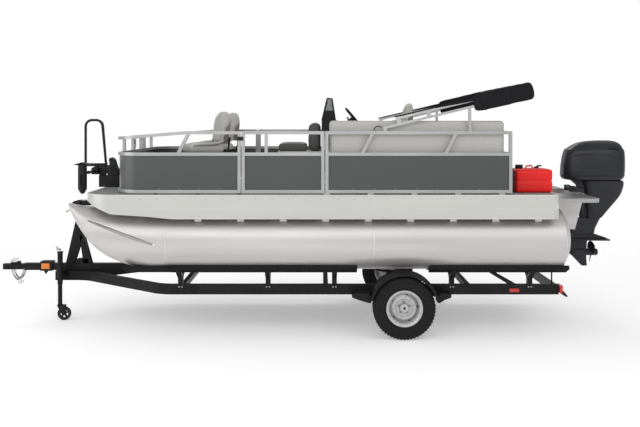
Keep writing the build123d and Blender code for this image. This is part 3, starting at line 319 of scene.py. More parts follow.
def plateMesh(outline, middle, half, bevel=0.0, axis="y"):
    # a closed outline of (x, z) pairs with thickness along Y, or of (y, z) pairs with thickness along X
    mesh = skinned([[(a, across, b) if axis == "y" else (across, a, b) for a, b in outline]
                    for across in (middle - half, middle + half)])
    if bevel:
        bm = bmesh.new()
        bm.from_mesh(mesh)
        rim = [edge for edge in bm.edges if edge.calc_face_angle(0) > 0.5]
        bmesh.ops.bevel(bm, geom=rim, offset=bevel, segments=2, affect="EDGES", profile=0.5)
        bm.to_mesh(mesh)
        bm.free()
    return mesh


def padMesh(low, high, corner, crown, cuts, channels=(), top="z", pinch=0.012, wrinkle=0.0015):
    # a stuffed cushion: rounded edges, a crowned face, sides that pull in, and sewn channels
    half, middle = (Vector(high) - Vector(low)) / 2, (Vector(high) + Vector(low)) / 2
    faces, index = [], {}
    for axis in range(3):
        first, second = [n for n in range(3) if n != axis]
        for i in range(cuts[first]):
            for j in range(cuts[second]):
                for end in (0, cuts[axis]):
                    quad = []
                    for a, b in ((i, j), (i + 1, j), (i + 1, j + 1), (i, j + 1)):
                        key = (end, a, b) if axis == 0 else (a, end, b) if axis == 1 else (a, b, end)
                        quad.append(index.setdefault(key, len(index)))
                    faces.append(quad)
    placed = []
    for key in index:
        full = Vector([(2 * key[n] / cuts[n] - 1) * half[n] for n in range(3)])
        core = Vector([max(-half[n] + corner, min(half[n] - corner, full[n])) for n in range(3)])
        lean = full - core
        if lean.length > 1e-9:
            full = core + lean.normalized() * max(abs(value) for value in lean)
        share = [min(1.0, abs(full[n]) / half[n]) for n in range(3)]
        bow = [1 - share[n] ** 2 for n in range(3)]
        full[0] -= math.copysign(pinch * bow[1] * share[0] ** 6, full[0])
        full[1] -= math.copysign(pinch * bow[0] * share[1] ** 6, full[1])
        axis = "xyz".index(top[-1])
        first, second = [share[n] for n in range(3) if n != axis]
        sign = -1 if top.startswith("-") else 1
        if full[axis] * sign > 0:
            lift = crown * (1 - first ** 4) * (1 - second ** 4)
            for direction, place, width, depth in channels:
                gap = (full[direction] - place) / width
                lift -= depth * math.exp(-gap * gap) * (1 - first ** 8) * (1 - second ** 8)
            full[axis] += sign * (lift - crown)
        ripple = noise.noise((middle + full) * 9.0) * wrinkle
        placed.append(middle + full + full.normalized() * ripple)
    return meshOf(placed, faces)


def repeatTree():
    # puts the shape on every point of the cloud, turned to the point's own rotation
    tree = bpy.data.node_groups.new("repeatShape", "GeometryNodeTree")
    for name, way, kind in (("Geometry", "INPUT", "Geometry"), ("Shape", "INPUT", "Object"),
                            ("Finish", "INPUT", "Material"), ("Geometry", "OUTPUT", "Geometry")):
        tree.interface.new_socket(name, in_out=way, socket_type="NodeSocket" + kind)
    entry, leave = tree.nodes.new("NodeGroupInput"), tree.nodes.new("NodeGroupOutput")
    shape = addNode(tree, "GeometryNodeObjectInfo")
    turn = addNode(tree, "GeometryNodeInputNamedAttribute", Name="turn")
    turn.data_type = "FLOAT_VECTOR"
    spread = addNode(tree, "GeometryNodeInstanceOnPoints")
    real = addNode(tree, "GeometryNodeRealizeInstances")
    paint = addNode(tree, "GeometryNodeSetMaterial")
    wire(tree, (entry, "Geometry", spread, "Points"), (entry, "Shape", shape, "Object"),
         (shape, "Geometry", spread, "Instance"), (turn, "Attribute", spread, "Rotation"),
         (spread, "Instances", real, "Geometry"), (real, "Geometry", paint, "Geometry"),
         (entry, "Finish", paint, "Material"), (paint, "Geometry", leave, "Geometry"))
    return tree


repeatShape = repeatTree()


def repeated(name, shapeMesh, places, finish, slotName, body="boat"):
    # places: (point, turn about X, Y and Z in radians)
    shape = bpy.data.objects.new(name + "Shape", shapeMesh)
    scene.collection.objects.link(shape)
    cloud = bpy.data.meshes.new(name + "Points")
    cloud.from_pydata([tuple(point) for point, turn in places], [], [])
    turns = cloud.attributes.new("turn", "FLOAT_VECTOR", "POINT")
    for index, (point, turn) in enumerate(places):
        turns.data[index].vector = turn
    carrier = bpy.data.objects.new(name + "Carrier", cloud)
    scene.collection.objects.link(carrier)
    modifier = carrier.modifiers.new("repeat", "NODES")
    modifier.node_group = repeatShape
    sockets = {item.name: item.identifier for item in repeatShape.interface.items_tree
               if item.item_type == "SOCKET" and item.in_out == "INPUT"}
    modifier[sockets["Shape"]] = shape
    modifier[sockets["Finish"]] = finishes[finish]
    bpy.context.view_layer.update()
    evaluated = carrier.evaluated_get(bpy.context.evaluated_depsgraph_get())
    mesh = bpy.data.meshes.new_from_object(evaluated)
    bpy.data.objects.remove(carrier)
    bpy.data.objects.remove(shape)
    return finished(name, mesh, finish, slotName, body, angle=40)


def boltMesh(radius, height):
    profile = [(-height * 0.4, radius * 1.35), (0, radius * 1.35), (0, radius), (height * 0.8, radius),
               (height, radius * 0.8)]
    return latheMesh(profile, (0, 0, 0), (0, 0, 1), 6)


def domeMesh(radius, height, sides=10):
    profile = [(-0.001, radius)] + [(height * s, radius * c) for c, s in around(4, 0, quarter, last=True)]
    return latheMesh(profile, (0, 0, 0), (0, 0, 1), sides)


print("makers ready")


# ---- seats ----
lounge = {"sections": 3, "seatCrown": 0.022, "gap": 0.004, "piping": 0.005, "seatTall": 0.11,
          "backThick": 0.13, "corner": 0.03, "inset": 0.012}


def pipingAround(x0, x1, y0, y1, z):
    # a welt that follows a rounded rectangle at one height
    radius, reach, points = lounge["corner"], lounge["corner"] + lounge["inset"], []
    for x, y, start in ((x1 - reach, y1 - reach, 0), (x0 + reach, y1 - reach, 90),
                        (x0 + reach, y0 + reach, 180), (x1 - reach, y0 + reach, 270)):
        arc = around(6, math.radians(start), quarter, last=True)
        points += [(x + radius * c, y + radius * s, z) for c, s in arc]
    return points


def makeLounge():
    low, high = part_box("lounge_pads")
    baseLow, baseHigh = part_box("lounge_base")
    seatTop, backFace, crown = low.z + lounge["seatTall"], low.y + lounge["backThick"], lounge["seatCrown"]
    length = (high.x - low.x) / lounge["sections"]
    seats, welts, doors = [], [], []
    for index in range(lounge["sections"]):
        x0 = low.x + index * length + lounge["gap"] / 2
        x1 = x0 + length - lounge["gap"]
        channels = tuple((0, way * length * 0.18, 0.008, 0.01) for way in bothSides)
        seats.append(padMesh((x0, backFace + 0.002, low.z), (x1, high.y, seatTop + crown), lounge["corner"],
                             crown, (24, 18, 8), channels))
        piping = pipingAround(x0, x1, backFace, high.y, seatTop - 0.006)
        welts.append(tubeMesh(piping, lounge["piping"], 8, True))
        x0 = baseLow.x + index * length + 0.05
        doors.append(blockMesh((x0, baseHigh.y - 0.004, baseLow.z + 0.06),
                               (x0 + length - 0.1, baseHigh.y + 0.006, baseHigh.z - 0.05), 0.006))
    finished("loungeCushions", seats, "beigeVinyl", "seat_vinyl", replaced=("lounge_pads",), fill=0.8)
    seams = tuple((0, (high.x - low.x) * share, 0.01, 0.01) for share in (-1 / 6, 1 / 6))
    back = padMesh((low.x, low.y, low.z + 0.002), (high.x, backFace, high.z), 0.035, 0.012, (84, 8, 20),
                   seams + ((2, 0.11, 0.009, 0.009),), "y")
    finished("loungeBacks", back, "paleVinyl", "seat_vinyl", fill=0.8)
    finished("loungeWelts", welts, "charcoalVinyl", "seat_vinyl")
    finished("loungeDoors", doors, "mouldedBeige", "seat_base")


def makeBench():
    low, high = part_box("bench_pads")
    split = high.x - 0.165
    seat = padMesh((low.x, low.y, low.z), (split - 0.004, high.y, low.z + 0.105), 0.03, 0.018, (20, 22, 8),
                   ((1, 0.0, 0.008, 0.009),))
    finished("benchCushion", seat, "charcoalVinyl", "seat_vinyl", replaced=("bench_pads",), fill=0.75)
    back = padMesh((split, low.y + 0.01, low.z), (high.x, high.y - 0.01, high.z), 0.07, 0.02, (12, 22, 20),
                   ((2, 0.02, 0.008, 0.008),), "-x")
    finished("benchRest", back, "charcoalVinyl", "seat_vinyl", fill=0.75)


chairLook = {"pan": 1.8803, "seatTall": 0.08, "topRound": 0.14, "lean": 0.05, "crown": 0.1, "pinch": 0.8,
             "shellDrop": 0.055, "middle": 0.168}
# columns: name, x and y of the swivel, turn to port, height of the back
chairRows = (("port", -1.087, -0.5, 22.0, 0.33), ("starboard", -1.087, 0.5, 22.0, 0.33),
             ("helm", 1.013, 0.43, 0.0, 0.44))


def leaned(mesh, bottom, top):
    for vert in mesh.vertices:
        rise = max(0.0, min(1.0, (vert.co.z - bottom) / (top - bottom)))
        crown = max(0.0, (vert.co.z - top + chairLook["crown"]) / chairLook["crown"])
        slim = math.sqrt(max(0.0, 1 - chairLook["pinch"] * min(1.0, crown) ** 2))
        depth = chairLook["middle"] + (vert.co.x - chairLook["middle"]) * slim
        vert.co.x = depth - chairLook["lean"] * (1 - rise)
    return mesh


def chairOutline(halfWidth, bottom, top):
    corner, waist = chairLook["topRound"], bottom + (top - bottom) * 0.45
    points = [(-halfWidth * 0.86, bottom), (halfWidth * 0.86, bottom), (halfWidth, waist)]
    for side, start in ((1, 0), (-1, quarter)):
        points += [(side * (halfWidth - corner) + corner * c, top - corner + corner * s)
                   for c, s in around(9, start, quarter, last=True)]
    return points + [(-halfWidth, waist)]


def puffed(outline, x0, x1, crown):
    # an upright pad: the outline swells between two crowned faces, with a rounded rim
    middleZ = sum(z for y, z in outline) / len(outline)
    swell = ((0.0, 0.88), (0.1, 0.97), (0.3, 1.0), (0.7, 1.0), (0.9, 0.97), (1.0, 0.88))
    rows = [(x0 - crown, 0.22), (x0 - crown * 0.75, 0.528)]
    rows += [(x0 + (x1 - x0) * along, scale) for along, scale in swell]
    rows += [(x1 + crown * 0.75, 0.528), (x1 + crown, 0.22)]
    return skinned([[(x, y * scale, middleZ + (z - middleZ) * scale) for y, z in outline]
                    for x, scale in rows])


def makeChair(which, swivelX, swivelY, turn, backHeight):
    put = Matrix.Translation((swivelX, swivelY, 0)) @ Matrix.Rotation(math.radians(turn), 4, "Z")
    pan = chairLook["pan"]
    seatTop = pan + chairLook["seatTall"]

    def shown(name, mesh, finish, slotName="chair_vinyl", **more):
        mesh.transform(put)
        finished(name + which.capitalize(), mesh, finish, slotName, "chair_" + which, **more)

    seat = padMesh((-0.26, -0.21, pan), (0.112, 0.21, seatTop + 0.02), 0.03, 0.03, (20, 20, 7),
                   ((1, -0.12, 0.01, 0.014), (1, 0.12, 0.01, 0.014)))
    shown("chairSeat", seat, "paleVinyl", replaced=("pads_" + which,), fill=0.75)
    bottom, top = pan + 0.115, pan + 0.11 + backHeight
    shellTop = top - chairLook["shellDrop"]
    back = puffed(chairOutline(0.192, bottom, top), 0.118, 0.204, 0.012)
    shown("chairBack", leaned(back, bottom, top), "paleVinyl", angle=60, fill=0.75)
    shell = puffed(chairOutline(0.199, bottom - 0.008, shellTop), 0.158, 0.214, 0.002)
    shown("chairShell", leaned(shell, bottom, top), "taupeVinyl", angle=60, fill=0.75)
    bolsters = [tubeMesh([(x, side * 0.19, seatTop + rise) for x, rise in
                          ((-0.22, 0), (-0.14, 0.008), (-0.04, 0.012), (0.06, 0.024), (0.115, 0.05))],
                         [0.008, 0.016, 0.018, 0.017, 0.008]) for side in bothSides]
    shown("chairBolsters", joined(bolsters), "paleVinyl")
    ring = [(0.16, y, z) for y, z in chairOutline(0.197, bottom, shellTop - 0.002)]
    shown("chairWelt", leaned(tubeMesh(ring, 0.0025, 6, True), bottom, top), "taupeVinyl")
    lever = tubeMesh([(0.02, -0.1, pan - 0.01), (0.03, -0.19, pan - 0.012)], 0.006, 8)
    shown("chairLever", lever, "mouldedBlack", "black_plastic")


makeLounge()
makeBench()
for row in chairRows:
    makeChair(*row)
print("seats made")


# ---- folded top in its boot ----
bootLook = {"pivot": (0.763, 2.149), "lie": 13.1, "start": 0.915, "end": 1.505, "rise": 0.036, "tall": 0.083,
            "wide": 0.054, "bend": 0.09, "ripple": 0.005, "startShare": 0.84, "square": 0.8}


def makeBoot():
    low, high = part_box("bimini_frame")
    armY = (high.y - low.y) / 2 - 0.0125
    lie = math.radians(bootLook["lie"])
    ahead, above = Vector((math.cos(lie), 0, math.sin(lie))), Vector((-math.sin(lie), 0, math.cos(lie)))
    base = Vector((bootLook["pivot"][0], 0, bootLook["pivot"][1])) + above * bootLook["rise"]
    start, end, bend = bootLook["start"], bootLook["end"], bootLook["bend"]
    tall, wide = bootLook["tall"], bootLook["wide"]

    def spotAt(along, y, lift=0.0):
        return base + ahead * along + above * lift + Vector((0, y, 0))

    route = [spotAt(start + (end - bend - start) * step / 12, -armY) for step in range(13)]
    for step in range(1, 7):
        angle = quarter * step / 7
        route.append(spotAt(end - bend + bend * math.sin(angle), -armY + bend * (1 - math.cos(angle))))
    route += [spotAt(end, -armY + bend + 2 * (armY - bend) * step / 24) for step in range(25)]
    route += [Vector((point.x, -point.y, point.z)) for point in reversed(route[:19])]
    rings, count = [], len(route)
    for index, point in enumerate(route):
        direction = (route[min(index + 1, count - 1)] - route[max(index - 1, 0)]).normalized()
        across = direction.cross(above).normalized()
        swell = min(1.0, bootLook["startShare"] + min(index, count - 1 - index) * 0.08)
        ring = []
        for step, (c, s) in enumerate(around(22, power=bootLook["square"])):
            sag = 0.01 if s < 0 else 0.0
            spot = point + across * c * wide * swell + above * (s * tall - sag) * swell
            fold = noise.noise(Vector((index * 0.55, step * 0.9, 3.1))) + noise.noise(spot * 5.0)
            ring.append(spot + (spot - point).normalized() * fold * bootLook["ripple"])
        rings.append(ring)
    boot = finished("topBoot", skinned(rings), "blackCanvas", "canvas", "bimini", ("bimini_boot",), 80)
    smoothing = boot.modifiers.new("smooth", "SUBSURF")
    smoothing.levels = smoothing.render_levels = 1
    zipLine = [point - above * (tall + 0.001) for point in route[9:-9]]
    finished("bootZip", tubeMesh(zipLine, 0.004, 6), "mouldedBlack", "canvas", "bimini")
    # canvas folded flat along each arm, ahead of the boot, and two straps round each arm
    strips, straps = [], []
    for side in bothSides:
        line = [spotAt(0.12 + (start - 0.07) * step / 8, side * armY,
                       0.084 - 0.012 * step / 8 - bootLook["rise"]) for step in range(9)]
        strips.append(tubeMesh(line, [0.006 + 0.014 * step / 8 for step in range(9)], 10))
        for along, share in ((1.03, 0.99), (1.26, 1.0)):
            loop = [spotAt(along, side * armY + c * (wide + 0.001) * share,
                           (s * (tall + 0.001) - (0.009 if s < 0 else 0)) * share)
                    for c, s in around(20, power=bootLook["square"])]
            straps.append(tubeMesh(loop, 0.0035, 6, True))
    finished("topStrips", strips, "blackCanvas", "canvas", "bimini")
    finished("bootStraps", straps, "mouldedBlack", "canvas", "bimini")


makeBoot()
print("folded top made")


# ---- outboard ----
cowl = {"squareness": 0.5, "steps": 40, "seamRise": 0.055, "taper": 0.12}
# columns: height over the seam, front and rear from the node's front, half width
cowlRows = (
    (0.0, 0.07, 0.655, 0.15), (0.014, 0.03, 0.696, 0.174), (0.05, 0.016, 0.712, 0.187),
    (0.11, 0.016, 0.717, 0.19), (0.2, 0.026, 0.718, 0.189), (0.28, 0.04, 0.717, 0.184),
    (0.33, 0.055, 0.713, 0.178), (0.352, 0.064, 0.707, 0.173), (0.357, 0.078, 0.697, 0.162),
    (0.38, 0.112, 0.69, 0.151), (0.405, 0.15, 0.675, 0.132), (0.43, 0.205, 0.65, 0.102),
    (0.446, 0.29, 0.61, 0.062), (0.4545, 0.42, 0.56, 0.022),
)
# columns: height, front, rear and half width of the cover between the cowl and the leg
coverRows = (
    (1.558, 3.085, 3.55, 0.152), (1.53, 3.09, 3.566, 0.15), (1.49, 3.11, 3.566, 0.14),
    (1.44, 3.13, 3.557, 0.122), (1.385, 3.142, 3.54, 0.104), (1.33, 3.148, 3.502, 0.091),
    (1.27, 3.151, 3.452, 0.081), (1.2, 3.152, 3.39, 0.074), (1.12, 3.153, 3.326, 0.069),
    (1.112, 3.156, 3.316, 0.064),
)


def cowlRing(x0, x1, halfY, z, inset=0.0):
    # one level of the cowl: flat sides, tight corners and a slightly narrower front
    middle, halfX = (x0 + x1) / 2, (x1 - x0) / 2 - inset
    return [(middle + c * halfX, s * (halfY - inset) * (1 - cowl["taper"] * max(0.0, -c)), z)
            for c, s in around(cowl["steps"], power=cowl["squareness"])]


def makeCowl():
    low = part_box("motor_cowl")[0]
    shell = skinned([cowlRing(low.x + front, low.x + rear, wide, low.z + rise)
                     for rise, front, rear, wide in cowlRows])
    cover = skinned([cowlRing(front, rear, wide, z) for z, front, rear, wide in coverRows])
    for piece in (finished("cowl", shell, "cowlPaint", "motor_grey", "motor", ("motor_cowl",), 60),
                  finished("lowerCover", cover, "legPaint", "motor_grey", "motor", angle=60)):
        smoothing = piece.modifiers.new("smooth", "SUBSURF")
        smoothing.levels = smoothing.render_levels = 2
    front, rear, wide = cowlRows[2][1:]
    back = low.x + rear
    seam = cowlRing(low.x + front, back, wide, low.z + cowl["seamRise"], 0.002)
    finished("cowlSeam", tubeMesh(seam, 0.005, 8, True), "mouldedBlack", "motor_grey", "motor")
    latch = blockMesh((back - 0.02, -0.035, low.z + 0.03), (back + 0.002, 0.035, low.z + 0.085), 0.006)
    finished("cowlLatch", latch, "mouldedBlack", "motor_grey", "motor")
    # air slots under the cap, at the rear of each side, and a moulded panel line
    vents, lines = [], []
    for side in bothSides:
        vents += [blockAt((back - 0.079 - 0.03 * index, side * 0.166, low.z + 0.367),
                          (0.011, 0.008, 0.005), 0.002) for index in range(5)]
        sweep = [(low.x + x, side * y, low.z + z) for x, y, z in
                 ((0.045, 0.158, 0.255), (0.12, 0.182, 0.292), (0.3, 0.186, 0.305), (0.5, 0.185, 0.29),
                  (0.66, 0.172, 0.262))]
        lines.append(tubeMesh(sweep, [0.001, 0.004, 0.0045, 0.004, 0.001], 8))
    finished("cowlVents", vents, "mouldedBlack", "motor_grey", "motor")
    finished("cowlLines", lines, "cowlPaint", "motor_grey", "motor")


def bladeMesh(center, axis, count, hubRadius, tipRadius, chord, pitch, thick=0.004, start=0.0):
    axis, center = Vector(axis).normalized(), Vector(center)
    side = axis.orthogonal().normalized()
    up = axis.cross(side)
    rows = columns = 9
    layer = rows * columns
    faces = []
    for row in range(rows - 1):
        for a in range(row * columns, row * columns + columns - 1):
            faces.append((a, a + 1, a + 1 + columns, a + columns))
            faces.append((layer + a, layer + a + columns, layer + a + 1 + columns, layer + a + 1))
    edges = [(a, a + 1) for first in (0, layer - columns) for a in range(first, first + columns - 1)]
    edges += [(a, a + columns) for first in (0, columns - 1) for a in range(first, layer - columns, columns)]
    faces += [(a, b, layer + b, layer + a) for a, b in edges]
    blades = []
    for c, s in around(count, start):
        radial = side * c + up * s
        tangent = axis.cross(radial)
        face, rear = [], []
        for row in range(rows):
            share = row / (rows - 1)
            radius = hubRadius * 0.8 + (tipRadius - hubRadius * 0.8) * share
            width = chord * math.sin(math.pi * (0.18 + 0.74 * share)) ** 0.6
            twist = pitch * (1 - 0.45 * share)
            for column in range(columns):
                place = column / (columns - 1) - 0.5
                local = place * width - 0.18 * chord * share * share
                level, drop = local * math.cos(twist), 1 - (2 * place) ** 2
                reach = min(radius, radius * math.sqrt(max(0.0, 1 - (level / radius) ** 2)) + 0.001)
                spot = center + radial * reach + tangent * level + axis * local * math.sin(twist)
                face.append(spot + axis * thick * drop * 0.5)
                rear.append(face[-1] - axis * thick * (0.25 + drop))
        blades.append(meshOf(face + rear, faces))
    return joined(blades)


def makePropeller():
    x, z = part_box("propeller")[0].x, 0.724
    hub = latheMesh([(0, 0.036), (0.012, 0.041), (0.06, 0.04), (0.1, 0.035), (0.109, 0.033), (0.109, 0.026),
                     (0.095, 0.024)], (x, 0, z), (1, 0, 0), 40)
    blades = bladeMesh((x + 0.052, 0, z), (1, 0, 0), 3, 0.04, 0.13, 0.105, math.radians(42), 0.006, 0.35)
    finished("propellerWheel", [hub, blades], "propPaint", "prop", "propeller", ("propeller",), 50)


makeCowl()
makePropeller()
print("outboard made")


# ---- wheels ----
tyreLook = {"radius": 0.32, "half": 0.0925, "treadBlocks": 56, "rimRadius": 0.164, "lugs": 5,
            "lugCircle": 0.057, "holeShades": 5, "holeCircle": 0.1335}


def makeWheel(word, side):
    low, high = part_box("tyre_" + word)
    x, y, z = center = (low + high) / 2
    body, end = "wheel_" + word, word.capitalize()
    outer, half, inner = tyreLook["radius"] - 0.008, tyreLook["half"], tyreLook["rimRadius"]

    def level(along):
        return (x, y + side * along, z)

    def shown(name, mesh, finish, slotName="rim", **more):
        finished(name + end, mesh, finish, slotName, body, **more)

    def spread(name, shape, places, finish, slotName="rim"):
        repeated(name + end, shape, places, finish, slotName, body)

    # one half of the section, as shares of the half width; the other half mirrors it
    section = ((0.72, inner), (0.86, inner + 0.012), (0.97, inner + 0.045), (1, inner + 0.085),
               (0.98, outer - 0.045), (0.94, outer - 0.024), (0.86, outer - 0.008), (0.74, outer),
               (0.5, outer + 0.002), (0.48, outer - 0.006), (0.43, outer - 0.006), (0.41, outer + 0.003),
               (0.05, outer + 0.003), (0.03, outer - 0.006))
    profile = [(-half * share, radius) for share, radius in section]
    profile += [(half * share, radius) for share, radius in reversed(section)]
    shown("tyre", latheMesh(profile, center, (0, 1, 0), 96, True), "rubber", "tyre",
          replaced=("tyre_" + word,), angle=30)
    step, radius, blocks = 2 * math.pi / tyreLook["treadBlocks"], outer + 0.0012, []
    for index in range(tyreLook["treadBlocks"]):
        for along, shift in ((-0.72, 0), (-0.25, 0.5), (0.25, 0), (0.72, 0.5)):
            turn = (index + shift) * step
            spot = (x + radius * math.sin(turn), y + along * half, z + radius * math.cos(turn))
            blocks.append((spot, (0, turn, 0)))
    block = blockMesh((-0.0075, -0.012, -0.004), (0.0075, 0.012, 0.0045), 0.001, 1)
    spread("tread", block, blocks, "rubber", "tyre")
    ribs = ((inner + 0.03, 0.0025, 0.0022), (inner + 0.075, 0.0012, 0.002), (outer - 0.05, 0.0012, 0.0022))
    shown("sidewallRibs", [tubeMesh(circle(level(half - sunk), radius, 72), size, 6, True)
                           for radius, sunk, size in ribs], "rubber", "tyre")
    nuts = [(spot, outboard[side])
            for spot in circle(level(0.028), tyreLook["lugCircle"], tyreLook["lugs"], start=0.3)]
    spread("lugNuts", boltMesh(0.0105, 0.018), nuts, "shadedAluminium")
    cap = [(0.0, 0.03), (0.005, 0.032), (0.034, 0.031), (0.04, 0.026), (0.043, 0.015), (0.044, 0.0)]
    shown("hubCap", latheMesh(cap, level(0.022), (0, side, 0), 32), "zincSteel")
    spread("hubPlug", domeMesh(0.014, 0.006, 20), [(level(0.064), outboard[side])], "mouldedBlack")
    flange = [(0.066, 0.15), (0.079, 0.16), (0.086, 0.17), (0.0875, 0.178), (0.086, 0.185), (0.0815, 0.186),
              (0.074, 0.17), (0.062, 0.156)]
    shown("rimFlange", latheMesh(flange, center, (0, side, 0), 72, True), "rimSilver")
    beads = ((0.16, 0.066, 0.0045), (0.151, 0.045, 0.003), (0.118, 0.031, 0.003))
    # dark rings in the rim's grooves: painted shade in the recesses
    grooveShades = ((0.1455, 0.044, 0.003), (0.088, 0.0285, 0.003))
    for name, finish, rows in (("rimBeads", "rimSilver", beads), ("rimGrooves", "shadedAluminium", grooveShades)):
        shown(name, [tubeMesh(circle(level(along), radius), size, 8, True)
                     for radius, along, size in rows], finish)
    # black discs over the rim's holes: painted shade seen through the holes
    holeShades = [(spot, outboard[side])
             for spot in circle(level(0.0262), tyreLook["holeCircle"], tyreLook["holeShades"], start=0.1)]
    spread("rimHoles", domeMesh(0.011, 0.0015, 16), holeShades, "mouldedBlack")
    valve = [(x + 0.14, y + side * 0.03, z + 0.02), (x + 0.138, y + side * 0.062, z + 0.018)]
    shown("valve", tubeMesh(valve, 0.004, 8), "rubber")


makeWheel("port", -1)
makeWheel("starboard", 1)
print("wheels made")


# ---- fuel tank ----
tankLook = {"top": 1.725, "ribDepth": 0.006, "ribReach": 0.02}


def makeTank():
    low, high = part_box("fuel_tank")
    middle, half, top = (low + high) / 2, (high - low) / 2, tankLook["top"]
    body = padMesh(low, (high.x, high.y, top), 0.028, 0.008, (30, 26, 18),
                   ((1, -0.07, 0.006, 0.006), (1, 0.07, 0.006, 0.006)), pinch=0.0, wrinkle=0.0)
    for vert in body.vertices:
        share = (vert.co.z - low.z) / (top - low.z)
        groove = tankLook["ribDepth"] * math.exp(-((share - 0.5) / 0.05) ** 2) if 0.12 < share < 0.88 else 0.0
        for axis in (0, 1):
            off = vert.co[axis] - middle[axis]
            if abs(off) > half[axis] - tankLook["ribReach"]:
                vert.co[axis] -= math.copysign(groove, off)
    finished("tankBody", body, "redTank", "red_tank", replaced=("fuel_tank",), angle=50)
    x, y = middle.x, middle.y
    cap = latheMesh([(-0.01, 0.036), (0.006, 0.04), (0.03, 0.04), (0.036, 0.034), (0.036, 0.0)],
                    (x - 0.12, y, top), (0, 0, 1), 28)
    gauge = latheMesh([(-0.01, 0.026), (0.012, 0.026), (0.016, 0.022), (0.016, 0.0)], (x + 0.06, y, top),
                      (0, 0, 1), 24)
    spigot = tubeMesh([(x + 0.06, y, top + 0.012), (x + 0.075, y - 0.01, top + 0.026),
                       (x + 0.11, y - 0.02, top + 0.026)], 0.008, 10)
    finished("tankCaps", [cap, gauge, spigot], "mouldedBlack", "black_plastic")
    grip = [(x + along, y, top + rise) for along, rise in
            ((-0.05, -0.004), (-0.045, 0.022), (0.01, 0.026), (0.02, 0.004))]
    finished("tankGrip", tubeMesh(grip, 0.009, 10), "redTank", "red_tank")


makeTank()
print("tank made")


# ---- helm ----
helm = {"tilt": 50, "wheelRadius": 0.15, "screenCorner": 0.06}


def makeHelm():
    tilt = math.radians(helm["tilt"])
    normal, side = Vector((math.sin(tilt), 0, math.cos(tilt))), Vector((0, 1, 0))
    up = normal.cross(side)
    hub = Vector((0.518, 0.64, 2.25)) + normal * 0.011
    ring = [hub + (side * c + up * s) * helm["wheelRadius"] for c, s in around(64)]
    parts = [tubeMesh(ring, 0.013, 12, True)]
    for c, s in around(3, quarter):
        out = side * c + up * s
        parts.append(tubeMesh([hub + out * 0.02, hub + out * 0.08 - normal * 0.004, hub + out * 0.145],
                              [0.014, 0.01, 0.009], 10, flatten=0.6))
    parts.append(latheMesh([(-0.011, 0.036), (0.002, 0.038), (0.01, 0.032), (0.013, 0.018), (0.014, 0.0)],
                           hub, normal, 28))
    finished("steeringWheelGrip", parts, "mouldedBlack", "black_plastic", "steering_wheel",
             ("steering_wheel",), 50)
    # dials, dash face and throttle on the console's sloped rear
    low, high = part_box("console")
    slopeFrom = Vector((0.303, 0, 2.23))
    slope = (Vector((0.553, 0, 2.09)) - slopeFrom).normalized()
    out = Vector((-slope.z, 0, slope.x))
    dials, faces = [], []
    for y, along, radius in ((0.5, 0.06, 0.042), (0.6, 0.05, 0.032), (0.68, 0.05, 0.032),
                             (0.78, 0.06, 0.042)):
        spot, inner = slopeFrom + slope * along + Vector((0, y, 0)), radius - 0.006
        dials.append(latheMesh([(0.0, radius), (0.008, radius), (0.01, radius - 0.004), (0.007, inner),
                                (0.006, 0.0)], spot, out, 28))
        faces.append(latheMesh([(0.004, inner), (0.0072, inner - 0.001), (0.0075, 0.0)], spot, out, 28))
    finished("dialBezels", dials, "mouldedBlack", "black_plastic")
    finished("dialFaces", faces, "dialFace", "black_plastic")
    corners = [slopeFrom + slope * along + out * rise for along, rise in
               ((0.012, 0), (0.13, 0), (0.13, 0.003), (0.012, 0.003))]
    dash = plateMesh([(point.x, point.z) for point in corners], (low.y + high.y) / 2,
                     (high.y - low.y) / 2 - 0.03)
    finished("dashPanel", dash, "mouldedBlack", "black_plastic")
    lever = [(x, high.y - 0.06, z) for x, z in ((0.485, 2.15), (0.475, 2.22), (0.455, 2.27))]
    throttle = [blockMesh((0.44, high.y - 0.09, 2.125), (0.53, high.y - 0.03, 2.165), 0.01),
                tubeMesh(lever, [0.009, 0.008, 0.012], 10)]
    finished("throttle", throttle, "mouldedBlack", "black_plastic")
    # black frame round the windscreen
    low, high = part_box("windscreen")
    y0, y1, corner = low.y + 0.004, high.y - 0.004, helm["screenCorner"]
    foot, rise = Vector((0.14, 0, 2.232)), Vector((0.062, 0, 0.258))
    ring = [foot + Vector((0, y1, 0))]
    for y, start in ((y1 - corner, 0), (y0 + corner, quarter)):
        ring += [foot + rise * (1 - corner / rise.length * (1 - s)) + Vector((0, y + corner * c, 0))
                 for c, s in around(7, start, quarter, last=True)]
    frames = [tubeMesh(ring + [foot + Vector((0, y0, 0))], 0.011, 10)]
    wing = ((0.2, 2.49), (0.256, 2.49), (0.296, 2.234), (0.142, 2.234))
    for y in (y0, y1):
        frames.append(tubeMesh([(x, y, z) for x, z in wing], 0.009, 8))
        frames.append(plateMesh([(0.142, 2.232), (0.294, 2.232), (0.278, 2.345), (0.168, 2.345)], y, 0.005))
    finished("screenFrame", frames, "mouldedBlack", "black_plastic")


makeHelm()
print("helm made")


# ---- hull trim ----
def makeHullTrim():
    welds, beads, rivets = [], [], []
    for side in bothSides:
        for x, size in ((hull["seamX"], 0.004), (0.66, 0.0045), (2.6, 0.004)):
            ring = circle((x, side * hull["tubeY"], hull["tubeZ"]), hull["tubeRadius"], 72, "x")
            welds.append(tubeMesh(ring, size, 8, True))
        # long beads that divide the skirt
        y = side * (hull["skirtY"] - 0.002)
        for x, z, size in ((-1.93, 1.47, 0.007), (-1.93, 1.338, 0.0028), (-1.36, 1.243, 0.006)):
            beads.append(tubeMesh([(x, y, z), (2.44, y, z)], size, 8))
        rivets += [((-1.85 + index * 0.165, side * hull["skirtY"], 1.435), outboard[side])
                   for index in range(26)]
    finished("weldRings", welds, "weld", "hull")
    finished("skirtBeads", beads, "skirtAluminium", "skirt")
    repeated("skirtRivets", domeMesh(0.006, 0.003), rivets, "railAluminium", "skirt")


